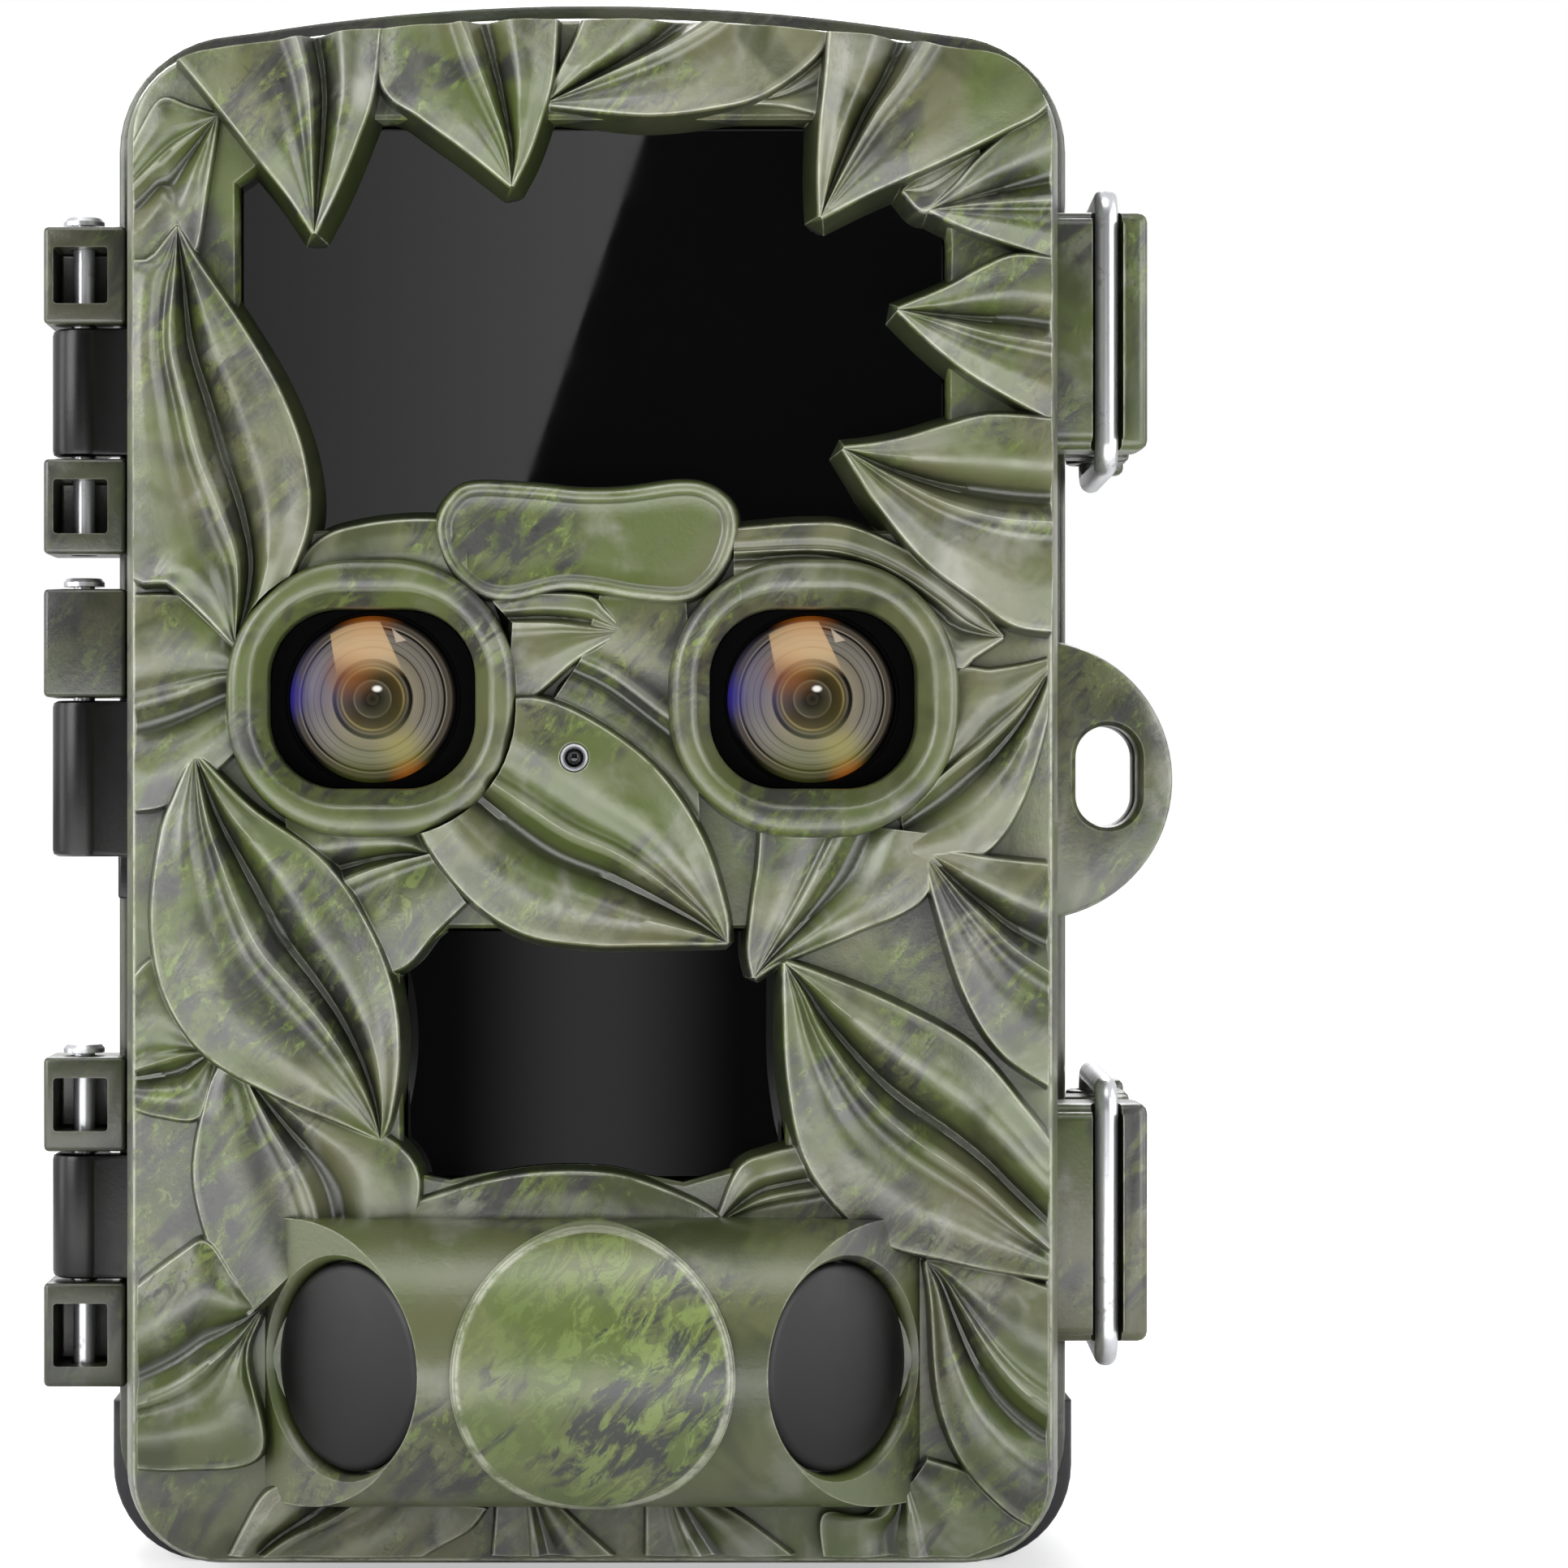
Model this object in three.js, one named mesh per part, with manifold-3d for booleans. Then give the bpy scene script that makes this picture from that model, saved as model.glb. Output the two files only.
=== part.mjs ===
// Trail camera: a two-half case hinged on its left side and held shut by two wire latches on its right.
// The door carries the lenses, the infrared lamp panel, three motion sensors, the screen and the buttons.
// The rear half carries eight AA cells, the strap rails and the tripod insert.
// Millimetres, +Z up, the lenses look along -Y. The working axes have x = 0 on the case's centre line,
// y = 0 on the parting plane of the two halves and z = 0 on the underside. The group is then moved so that
// the origin is the centre of the footprint.
import * as THREE from "three";
import { mergeVertices } from "three/addons/utils/BufferGeometryUtils.js";
import Module from "manifold-3d";

const wasm = await Module();
wasm.setup();

// ---------- driving dimensions ----------
const CASE_HALF = 44.0; // rear half, half width
const CASE_TOP = 145.0;
const CASE_BOTTOM = 1.0;
const CASE_CORNER = 11.0;
const TOP_SAG = 2.8; // rise of the arched top edge
const WALL = 2.2;
const REAR_DEPTH = 34.0;
const RAIL_BACK = 38.0; // back of the strap rails
const GAP = 0.3; // clearance between neighbouring solids

const DOOR_INSET = 1.6; // the door's sides lie this far inside the rear half's
const PLATE_INSET = 3.6; // the front plate's sides, same measure
const DOOR_TOP_DROP = 1.8; // further drop of the door's upper edge
const DOOR_BOTTOM_RISE = -0.4; // and rise of its lower edge
const FRAME_FRONT = -3.0; // inner cover of the door
const FRAME_BACK = -0.4;
const PLATE_INNER = -17.3;
const PLATE_FRONT = -22.4;
const BEVEL_DEPTH = 5.0;

const HINGE_X = -47.2;
const HINGE_Y = -0.4;
const HINGE_OUTER_X = -50.6;
const KNUCKLE_FRONT = -3.7;
const KNUCKLE_BACK = 4.2;
const TUBE_R = 2.9;
const PIN_R = 1.0;
const PIN_HOLE_R = 1.25;
const PIN_HEAD_R = 1.9;
const PIN_HEAD_H = 0.8;
// Each hinge: the rear half's knuckles (with or without a cored pocket) and the door's barrel.
const HINGES = [
  { name: "upper", knuckles: [[114.9, 123.9, true], [93.7, 102.5, true]], barrel: [102.8, 114.6] },
  { name: "middle", knuckles: [[80.5, 90.5, false]], barrel: [65.8, 80.2] },
  { name: "lower", knuckles: [[38.6, 47.3, true], [16.9, 26.5, true]], barrel: [26.8, 38.3] },
];

const LATCHES = [
  { name: "upper", z: 113.6 },
  { name: "lower", z: 32.7 },
];
const CATCH_X = 50.4;
const CATCH_HALF = 10.8;
const CATCH_FRONT = -10.4;
const CATCH_BACK = -3.6;
const WIRE_R = 1.05;
const BAR_X = 46.6;
const BAR_Y = -10.3;
const BAIL_HALF = 12.15; // to the centre of the wire's arms
const PIVOT_X = 48.2; // lever pivot on the rear half
const PIVOT_Y = 7.5;
const BAIL_PIVOT_X = 47.9; // bail pivot on the lever
const BAIL_PIVOT_Y = 15.2;
const LEVER_OUTER = 51.2;
const LEVER_HALF = 10.4;
const LEVER_END_Y = 31.0;

const EAR_X = 40.5; // centre of the padlock ears' arc
const EAR_Z = 72.9;
const EAR_R = 12.9;
const EAR_HOLE = { x: 47.4, z: 73.2, halfWidth: 2.9, halfHeight: 4.65 };

const LENS_X = 19.4;
const LENS_Z = 80.0;
const LENS_R = 7.5;
const LENS_SEAT = -18.9; // floor of the barrel's mouth
const APERTURE = { halfWidth: 9.1, halfHeight: 7.95, corner: 6.2 };
const GOGGLE = { halfWidth: 13.0, halfHeight: 12.5, corner: 11.4, front: -25.0 };
const LAMP_WINDOW = { x0: -31.2, x1: 31.3, z0: 94.8, z1: 131.4, corner: 3.0 };
const PIR_WINDOW = { x0: -16.6, x1: 17.0, z0: 37.6, z1: 59.8, corner: 0.3 };
const PLAQUE = { x0: -13.0, x1: 12.2, z0: 88.6, z1: 98.4, corner: 3.0 };
const STATUS_X = -1.6;
const STATUS_Z = 74.8;
const STATUS_R = 1.25;

const NOSE_Z = 22.0; // lower sensor housing
const NOSE_HALF_H = 12.5;
const NOSE_HALF_W = 29.8;
const NOSE_FRONT = -36.0;
const NOSE_PAD = { halfWidth: 11.8, halfHeight: 12.1, rise: 0.6 }; // raised oval in its middle
const FACET_SUM = 51.2; // the side facets lie where |x| + |y| equals this
const SIDE_LENS_X = 21.8;
const SIDE_LENS_R = 9.0;

// The door's inner side.
const SCREEN = { x0: -27, x1: 27, z0: 84, z1: 125, corner: 1.5 };
const BUTTONS = [
  { name: "button_ok", x: 0, z: 56, r: 3.4 },
  { name: "button_up", x: 0, z: 67, r: 3.0 },
  { name: "button_down", x: 0, z: 45, r: 3.0 },
  { name: "button_left", x: -11, z: 56, r: 3.0 },
  { name: "button_right", x: 11, z: 56, r: 3.0 },
  { name: "button_menu", x: -25, z: 56, r: 3.0 },
];
const SWITCH = { x: -4, z: 26 };
const SCREWS = [[-35.3, 131.5], [35.3, 131.5], [-35.3, 12], [35.3, 12]];
const BOARD_FRONT = -8.2;
const BOARD_BACK = -6.6;

const BOOT_TOP = 15.0;
const BOOT_HALF = 44.7;
const BOOT_BACK = 30.0;

const CELL_R = 7.1;
const CELL_LENGTH = 50.0;
const CELL_PITCH = 15.6;
const CELL_Y = 19.5;
const CELL_ROWS = [47.0, 102.0]; // centre heights of the two rows

// The moulded leaves on the front. Each is its two edges from the tip to the root, in x and z, and the height
// of its face over the front plate; the plate's rim trims the ones that run off it.
const LEAVES = [
  { rise: 1.7, a: [[-24.4, 120.8], [-29, 127.2], [-33, 132.3], [-37, 137.2]], b: [[-24.4, 120.8], [-22.5, 124.6], [-19.7, 132], [-18.6, 140]] },
  { rise: 1.7, a: [[-7.1, 125], [-11, 128.1], [-18.3, 133.8], [-18.9, 140]], b: [[-7.1, 125], [-5.2, 129.2], [-3.6, 134.8], [-3.3, 141]] },
  { rise: 1.5, a: [[-4.2, 132.2], [-1.8, 136.8], [-0.2, 141]], b: [[-4.2, 132.2], [3, 131.4], [10, 131.8], [15, 133.1], [21, 139], [21, 141]] },
  { rise: 1.9, a: [[20, 122.2], [20, 130], [21.1, 140]], b: [[20, 122.2], [25, 124.7], [28.8, 125.9], [33.6, 128.5], [39.5, 131.8], [42, 138]] },
  { rise: 1.5, a: [[29.6, 122.9], [34.5, 127.7], [41, 133]], b: [[29.6, 122.9], [33, 121.3], [41, 118.6]] },
  { rise: 1.7, a: [[26.8, 114.1], [34, 117.4], [37, 118.6], [41, 118]], b: [[26.8, 114.1], [32.5, 109], [41, 104]] },
  { rise: 2.0, a: [[22, 101.9], [28, 102.8], [37, 105.1], [41, 104.2]], b: [[22, 101.9], [27, 94.7], [31, 90.5], [37, 86.5], [41, 86]] },
  { rise: 1.9, a: [[-36.4, 121.3], [-41, 115.5], [-41, 93], [-34, 87.5], [-31.3, 85.2]],
    b: [[-36.4, 121.3], [-31, 112.8], [-26.2, 104], [-25.1, 97], [-26.5, 90.5], [-31.3, 85.2]] },
  { rise: 2.1, a: [[-34.9, 75.2], [-38, 65.5], [-37.6, 55], [-33.8, 49], [-28, 45.6], [-18.6, 41.4]],
    b: [[-34.9, 75.2], [-30, 70.3], [-23.5, 65.5], [-18.9, 58.3], [-17.1, 50], [-18.6, 41.4]] },
  { rise: 1.2, a: [[-20.2, 34.9], [-14, 36.2], [-5, 38.2], [4, 37.6], [11.8, 33.8]], b: [[-20.2, 34.9], [-15, 33], [0, 32.5], [11.8, 33.8]] },
  { rise: 2.1, a: [[11.8, 58.6], [10.6, 65], [5.5, 73.6], [-2.5, 78.8], [-9, 79.5]],
    b: [[11.8, 58.6], [0, 58.6], [-6, 59.6], [-11, 63], [-15, 69], [-15, 74]] },
  { rise: 1.5, a: [[2.7, 85.9], [-0.5, 88.8], [-5, 89], [-9, 88.4]], b: [[2.7, 85.9], [-2, 83.2], [-5.1, 80.5], [-9, 79.5]] },
  { rise: 1.2, a: [[36, 85.4], [32.5, 89.4], [26.5, 93.8], [19, 95.2], [12, 94.7]], b: [[36, 85.4], [31.8, 82.9], [27, 86], [19, 90], [12, 91]] },
  { rise: 1.0, a: [[40.4, 83.4], [35, 82.3], [30, 80], [27, 70]], b: [[40.4, 83.4], [39, 75], [34, 66.4], [27, 68]] },
  { rise: 1.2, a: [[14.2, 55.5], [14.2, 62], [15, 69]], b: [[14.2, 55.5], [19, 58], [28.8, 62.5], [30, 68]] },
  { rise: 1.8, a: [[29, 66.7], [35, 65.8], [41, 65.2]], b: [[29, 66.7], [31.3, 58], [34.5, 51], [41, 45.8]] },
  { rise: 2.1, a: [[16.9, 56.8], [17, 48], [19.2, 38.8], [24.5, 33], [31, 31.1], [41, 29.2]],
    b: [[16.9, 56.8], [23, 54.4], [33, 49.3], [37.7, 44], [41, 39.6]] },
  { rise: 1.5, a: [[29.3, 30.6], [30.2, 21], [32.5, 13.3], [38.6, 7.8], [41, 7]], b: [[29.3, 30.6], [33, 30.4], [41, 27.7]] },
  { rise: 1.5, a: [[-28.5, 26.3], [-33.8, 32.2], [-36, 31.2], [-41, 27.3]], b: [[-28.5, 26.3], [-29.5, 18], [-29.2, 13.9], [-36, 12.6], [-41, 12.8]] },
  { rise: 1.0, a: [[-32.5, 48], [-34.7, 39], [-33, 31], [-28, 26]], b: [[-32.5, 48], [-17.6, 41.8], [-15.4, 38], [-13, 32]] },
  { rise: 1.0, a: [[-32, 4.8], [-28.8, 9.9], [-25, 11]], b: [[-32, 4.8], [-18, 4.3], [-9.5, 8.4], [-9.5, 11]] },
  { rise: 1.0, a: [[20.4, 3], [20.2, 11], [29, 13]], b: [[20.4, 3], [34, 3], [38.6, 7.8], [33, 11.9]] },
];

const FOOT_CENTRE_X = (CATCH_X > EAR_X + EAR_R ? CATCH_X : EAR_X + EAR_R) / 2 + HINGE_OUTER_X / 2;
const FOOT_CENTRE_Y = (NOSE_FRONT - NOSE_PAD.rise + RAIL_BACK) / 2;

// ---------- solids ----------
// A geometry as a manifold-3d solid, with shared vertices merged.
function solid(geometry) {
  const bare = geometry.index ? geometry.toNonIndexed() : geometry.clone();
  bare.deleteAttribute("normal");
  bare.deleteAttribute("uv");
  const merged = mergeVertices(bare, 1e-4);
  return new wasm.Manifold(new wasm.Mesh({
    numProp: 3,
    vertProperties: merged.attributes.position.array,
    triVerts: new Uint32Array(merged.index.array),
  }));
}

function box(x0, x1, y0, y1, z0, z1) {
  const g = new THREE.BoxGeometry(x1 - x0, y1 - y0, z1 - z0);
  return solid(g.translate((x0 + x1) / 2, (y0 + y1) / 2, (z0 + z1) / 2));
}

// A shape drawn in x and z, extruded from y0 to y1.
function slab(shape, y0, y1, curveSegments = 5) {
  const g = new THREE.ExtrudeGeometry(shape, { depth: y1 - y0, bevelEnabled: false, curveSegments });
  return solid(g.rotateX(Math.PI / 2).translate(0, y1, 0));
}

// The same with both rims rolled back by bevel, measured inwards and along y.
function rolledSlab(shape, y0, y1, bevel, thickness, curveSegments = 5) {
  const g = new THREE.ExtrudeGeometry(shape, {
    depth: y1 - y0 - 2 * thickness,
    bevelEnabled: true,
    bevelThickness: thickness,
    bevelSize: bevel,
    bevelOffset: -bevel,
    bevelSegments: 3,
    curveSegments,
  });
  return solid(g.rotateX(Math.PI / 2).translate(0, y1 - thickness, 0));
}

const uprightCylinder = (r, x, y, z0, z1, sides = 20) =>
  solid(new THREE.CylinderGeometry(r, r, z1 - z0, sides).rotateX(Math.PI / 2).translate(x, y, (z0 + z1) / 2));

const depthCylinder = (r, x, z, y0, y1, sides = 24) =>
  solid(new THREE.CylinderGeometry(r, r, y1 - y0, sides).translate(x, (y0 + y1) / 2, z));

function roundedRect({ x0, x1, z0, z1, corner }) {
  const s = new THREE.Shape();
  s.moveTo(x0 + corner, z0);
  s.absarc(x1 - corner, z0 + corner, corner, -Math.PI / 2, 0);
  s.absarc(x1 - corner, z1 - corner, corner, 0, Math.PI / 2);
  s.absarc(x0 + corner, z1 - corner, corner, Math.PI / 2, Math.PI);
  s.absarc(x0 + corner, z0 + corner, corner, Math.PI, 1.5 * Math.PI);
  return s;
}

const centredRect = (x, z, { halfWidth, halfHeight, corner }) =>
  roundedRect({ x0: x - halfWidth, x1: x + halfWidth, z0: z - halfHeight, z1: z + halfHeight, corner });

// The case's outline, inset all round: straight sides, round corners and an arched top.
function caseOutline(inset, topDrop = 0, bottomRise = 0) {
  const corner = Math.max(CASE_CORNER - inset, 3);
  const half = CASE_HALF - inset;
  const bottom = CASE_BOTTOM + inset + bottomRise;
  const shoulder = CASE_TOP - inset - topDrop - TOP_SAG;
  const s = new THREE.Shape();
  s.moveTo(half - corner, bottom);
  s.absarc(half - corner, bottom + corner, corner, -Math.PI / 2, 0);
  s.absarc(half - corner, shoulder - corner, corner, 0, Math.PI / 2);
  s.quadraticCurveTo(0, shoulder + 2 * TOP_SAG, corner - half, shoulder);
  s.absarc(corner - half, shoulder - corner, corner, Math.PI / 2, Math.PI);
  s.absarc(corner - half, bottom + corner, corner, Math.PI, 1.5 * Math.PI);
  return s;
}

const doorOutline = (inset) => caseOutline(inset, DOOR_TOP_DROP, DOOR_BOTTOM_RISE);

// ---------- parts ----------
const camera = new THREE.Group();

const look = (color, roughness, metalness = 0) => new THREE.MeshStandardMaterial({ color, roughness, metalness });
const LOOKS = {
  camo: look(0x5b6440, 0.5),
  blackPlastic: look(0x1d1b20, 0.55),
  gloss: look(0x08080a, 0.08),
  glass: look(0x30303c, 0.05),
  steel: look(0xb8bac0, 0.25, 1),
  brass: look(0xb59a55, 0.35, 1),
  rubber: look(0x1a1a1c, 0.85),
  board: look(0x1d4a2e, 0.6),
  cell: look(0x2d5560, 0.4),
};

function add(name, made, material) {
  const mesh = made.getMesh();
  const geometry = new THREE.BufferGeometry();
  geometry.setAttribute("position", new THREE.BufferAttribute(new Float32Array(mesh.vertProperties), 3));
  geometry.setIndex(new THREE.BufferAttribute(new Uint32Array(mesh.triVerts), 1));
  geometry.computeVertexNormals();
  const piece = new THREE.Mesh(geometry, LOOKS[material]);
  piece.name = name;
  camera.add(piece);
}

function padlockEar(y0, y1) {
  const s = new THREE.Shape();
  s.absarc(EAR_X, EAR_Z, EAR_R, -Math.PI / 2, Math.PI / 2);
  s.lineTo(EAR_X, EAR_Z - EAR_R);
  const { x, z, halfWidth, halfHeight } = EAR_HOLE;
  const hole = slab(centredRect(x, z, { halfWidth, halfHeight, corner: halfWidth - 0.01 }), y0 - 1, y1 + 1);
  return slab(s, y0, y1, 10).subtract(hole);
}

function rearShell() {
  let made = rolledSlab(caseOutline(0), -BEVEL_DEPTH, REAR_DEPTH, 4, 4)
    .intersect(box(-60, 60, 0, REAR_DEPTH, -1, 150));
  const inner = slab(caseOutline(WALL), -1, REAR_DEPTH - WALL);
  for (const [x0, x1] of [[-36, -27], [27, 36]]) {
    // Strap rails: each is bridged, so that a 25 mm strap can pass behind it.
    made = made.add(box(x0, x1, REAR_DEPTH - 2, RAIL_BACK, 30, 116));
  }
  made = made.add(padlockEar(0, 3.4));
  for (const { knuckles } of HINGES)
    for (const [z0, z1] of knuckles) {
      const block = new THREE.Shape();
      const chamfer = 1.1;
      block.moveTo(HINGE_OUTER_X, -KNUCKLE_BACK);
      block.lineTo(-CASE_HALF + 1, -KNUCKLE_BACK);
      block.lineTo(-CASE_HALF + 1, 0);
      block.lineTo(-CASE_HALF - 0.1, 0);
      block.lineTo(-CASE_HALF - 0.1, -KNUCKLE_FRONT - chamfer);
      block.lineTo(-CASE_HALF - 0.1 - chamfer, -KNUCKLE_FRONT);
      block.lineTo(HINGE_OUTER_X + chamfer, -KNUCKLE_FRONT);
      block.lineTo(HINGE_OUTER_X, -KNUCKLE_FRONT - chamfer);
      const g = new THREE.ExtrudeGeometry(block, { depth: z1 - z0, bevelEnabled: false });
      made = made.add(solid(g.rotateX(Math.PI).translate(0, 0, z1)));
    }
  for (const { z } of LATCHES)
    for (const side of [-1, 1]) {
      const z0 = z + (side < 0 ? -LEVER_HALF : LEVER_HALF - 2.6);
      made = made.add(uprightCylinder(2.5, PIVOT_X, PIVOT_Y, z0, z0 + 2.6, 16))
        .add(box(CASE_HALF - 1, PIVOT_X, PIVOT_Y - 2.5, PIVOT_Y + 2.0, z0, z0 + 2.6));
    }
  made = made.subtract(inner);
  // Boss for the tripod insert, the strap tunnels, the pins' holes and the knuckles' cored pockets.
  made = made.add(uprightCylinder(7, 0, 17, CASE_BOTTOM, 13, 20));
  made = made.subtract(uprightCylinder(4.6, 0, 17, -2, 11.5, 20));
  for (const [x0, x1] of [[-37, -26], [26, 37]])
    made = made.subtract(box(x0, x1, REAR_DEPTH - 0.9, REAR_DEPTH + 2.3, 59, 87));
  for (const { knuckles } of HINGES)
    for (const [z0, z1, cored] of knuckles) {
      made = made.subtract(uprightCylinder(PIN_HOLE_R, HINGE_X, HINGE_Y, z0 - 1, z1 + 1, 16));
      if (cored)
        made = made.subtract(box(HINGE_OUTER_X + 0.9, -CASE_HALF - 0.7, KNUCKLE_FRONT - 1, 2.6, z0 + 1.9, z1 - 1.9));
    }
  for (const { z } of LATCHES)
    made = made.subtract(uprightCylinder(PIN_HOLE_R, PIVOT_X, PIVOT_Y, z - LEVER_HALF - 1, z + LEVER_HALF + 1, 16));
  // Room for the boot round the lower end.
  const band = slab(caseOutline(-5), 1.2 - GAP, BOOT_BACK + GAP)
    .subtract(slab(caseOutline(1.2), -1, REAR_DEPTH + 1))
    .intersect(box(-60, 60, -5, 60, -10, BOOT_TOP + GAP));
  return made.subtract(band);
}

function boot() {
  const half = BOOT_HALF;
  const s = new THREE.Shape();
  s.moveTo(half - 9, 0);
  s.absarc(half - 9, 9, 9, -Math.PI / 2, 0);
  s.lineTo(half, BOOT_TOP);
  s.lineTo(-half, BOOT_TOP);
  s.absarc(9 - half, 9, 9, Math.PI, 1.5 * Math.PI);
  return slab(s, 1.2, BOOT_BACK, 8)
    .subtract(slab(caseOutline(1.2 - GAP), 0, BOOT_BACK + 5))
    .subtract(uprightCylinder(8, 0, 17, -2, 3, 20));
}

// A ring that follows the case's rim.
const rimRing = (outerInset, innerInset, y0, y1) =>
  slab(caseOutline(outerInset), y0, y1).subtract(slab(caseOutline(innerInset), y0 - 1, y1 + 1));

function batteryTray() {
  let made = box(-37, 37, 9, 30.6, 16.5, 132).add(box(-39.5, 39.5, 7.4, 9, 14.5, 134));
  for (const z of CELL_ROWS)
    for (let i = 0; i < 4; i += 1) {
      const x = (i - 1.5) * CELL_PITCH;
      const half = CELL_LENGTH / 2 + 1.6;
      made = made.subtract(box(x - CELL_R - 0.3, x + CELL_R + 0.3, 6, CELL_Y, z - half, z + half))
        .subtract(uprightCylinder(CELL_R + 0.3, x, CELL_Y, z - half, z + half, 16));
    }
  return made;
}

// An AA cell, its button end up or down.
function cell(x, z, up) {
  const body = uprightCylinder(CELL_R, x, CELL_Y, z - CELL_LENGTH / 2, z + CELL_LENGTH / 2, 16);
  const tip = z + (up ? CELL_LENGTH / 2 : -CELL_LENGTH / 2 - 1);
  return body.add(uprightCylinder(2.7, x, CELL_Y, tip, tip + 1, 12));
}

// A nickel strip that joins the cells' ends.
const contactStrip = (z) => box(-30, 30, 31.0 - 0.1, 31.6, z - 3, z + 3);

function doorOuter() {
  return rolledSlab(doorOutline(DOOR_INSET), PLATE_FRONT, BEVEL_DEPTH, PLATE_INSET - DOOR_INSET,
    BEVEL_DEPTH).intersect(box(-60, 60, PLATE_FRONT, FRAME_FRONT - GAP, -1, 150));
}

// The lower sensor housing: a half-elliptic bar with its ends cut at 45 degrees, shrunk by inset for the hollow.
function nose(inset) {
  const height = NOSE_HALF_H - inset;
  const depth = -NOSE_FRONT - inset;
  const root = -PLATE_INNER - 1;
  const s = new THREE.Shape();
  s.moveTo(root, -height);
  s.lineTo(root + 7, -height);
  s.absellipse(root + 7, 0, depth - root - 7, height, -Math.PI / 2, Math.PI / 2);
  s.lineTo(root, height);
  const half = NOSE_HALF_W - inset;
  const g = new THREE.ExtrudeGeometry(s, { depth: 2 * half, bevelEnabled: false, curveSegments: 8 });
  // The profile's first axis becomes -Y and its second Z, with the bar along X.
  const turn = new THREE.Matrix4().set(0, 0, -1, half, -1, 0, 0, 0, 0, 1, 0, NOSE_Z, 0, 0, 0, 1);
  g.applyMatrix4(turn);
  const bar = solid(g);
  const ends = new THREE.Shape();
  const sum = FACET_SUM - inset * Math.SQRT2;
  ends.moveTo(-half - 1, root - 1);
  ends.lineTo(half + 1, root - 1);
  ends.lineTo(half + 1, sum - half - 1);
  ends.lineTo(sum - depth - 1, depth + 1);
  ends.lineTo(depth + 1 - sum, depth + 1);
  ends.lineTo(-half - 1, sum - half - 1);
  const keep = new THREE.ExtrudeGeometry(ends, { depth: 40, bevelEnabled: false });
  keep.rotateX(Math.PI).translate(0, 0, NOSE_Z + 20);
  return bar.intersect(solid(keep));
}

// A cylinder square to one of the nose's side facets, from its face inwards.
function facetCylinder(side, r, out, inwards, sides = 24) {
  const g = new THREE.CylinderGeometry(r, r, out + inwards, sides).translate(0, (out - inwards) / 2, 0);
  g.rotateZ(side > 0 ? -Math.PI * 0.75 : Math.PI * 0.75);
  return solid(g.translate(side * SIDE_LENS_X, SIDE_LENS_X - FACET_SUM, NOSE_Z));
}

// A leaf as a flat plate let into the front plate, its edges splined through their points.
function leafPlate({ rise, a, b }) {
  const edge = (points) => new THREE.SplineCurve(points.map(([x, z]) => new THREE.Vector2(x, z))).getPoints(2 * points.length - 2);
  const outline = [...edge(a), ...edge(b).reverse()];
  return slab(new THREE.Shape(outline), PLATE_FRONT - rise, PLATE_FRONT + GAP)
    .intersect(slab(doorOutline(PLATE_INSET), PLATE_FRONT - 5, PLATE_FRONT + 5));
}

function frontShell() {
  let made = doorOuter();
  made = made.subtract(slab(doorOutline(DOOR_INSET + WALL), PLATE_INNER, 1));
  made = made.subtract(slab(roundedRect(LAMP_WINDOW), PLATE_FRONT - 4, PLATE_INNER + 1, 3));
  made = made.subtract(slab(roundedRect(PIR_WINDOW), PLATE_FRONT - 4, PLATE_INNER + 1, 3));
  for (const leaf of LEAVES) made = made.add(leafPlate(leaf));
  for (const side of [-1, 1])
    made = made.add(slab(centredRect(side * LENS_X, LENS_Z, GOGGLE), GOGGLE.front, PLATE_INNER, 6));
  made = made.add(slab(roundedRect(PLAQUE), PLATE_FRONT - 1.2, PLATE_INNER, 3));
  const pad = new THREE.CylinderGeometry(1, 1, 30, 24).scale(NOSE_PAD.halfWidth, 1, NOSE_PAD.halfHeight);
  made = made.add(nose(0)).add(nose(-NOSE_PAD.rise).intersect(solid(pad.translate(0, NOSE_FRONT, NOSE_Z))));
  made = made.subtract(nose(2));
  made = made.subtract(box(-24, 24, -20, PLATE_INNER + 1, NOSE_Z - 9, NOSE_Z + 9));
  for (const side of [-1, 1]) {
    made = made.subtract(facetCylinder(side, SIDE_LENS_R + GAP, 3, 4));
    made = made.subtract(slab(centredRect(side * LENS_X, LENS_Z, APERTURE), GOGGLE.front - 1, PLATE_INNER + 1, 4));
  }
  made = made.subtract(depthCylinder(STATUS_R + 0.1, STATUS_X, STATUS_Z, PLATE_FRONT - 4, PLATE_INNER + 1, 12));
  // Padlock ear and the two latch catches, each grooved in front for the wire.
  const clear = slab(doorOutline(DOOR_INSET + WALL), -60, 10);
  const rim = box(30, CASE_HALF - DOOR_INSET + GAP, FRAME_FRONT - GAP, 0, 50, 95);
  made = made.add(padlockEar(-4.4, -0.5).subtract(clear).subtract(rim));
  for (const { z } of LATCHES) {
    const block = box(38, CATCH_X, CATCH_FRONT, CATCH_BACK, z - CATCH_HALF, z + CATCH_HALF).subtract(clear);
    const groove = box(BAR_X - 1.5, BAR_X + 1.5, CATCH_FRONT - 1, BAR_Y + WIRE_R + 0.35, z - 20, z + 20);
    made = made.add(block).subtract(groove);
  }
  return made;
}

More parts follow.
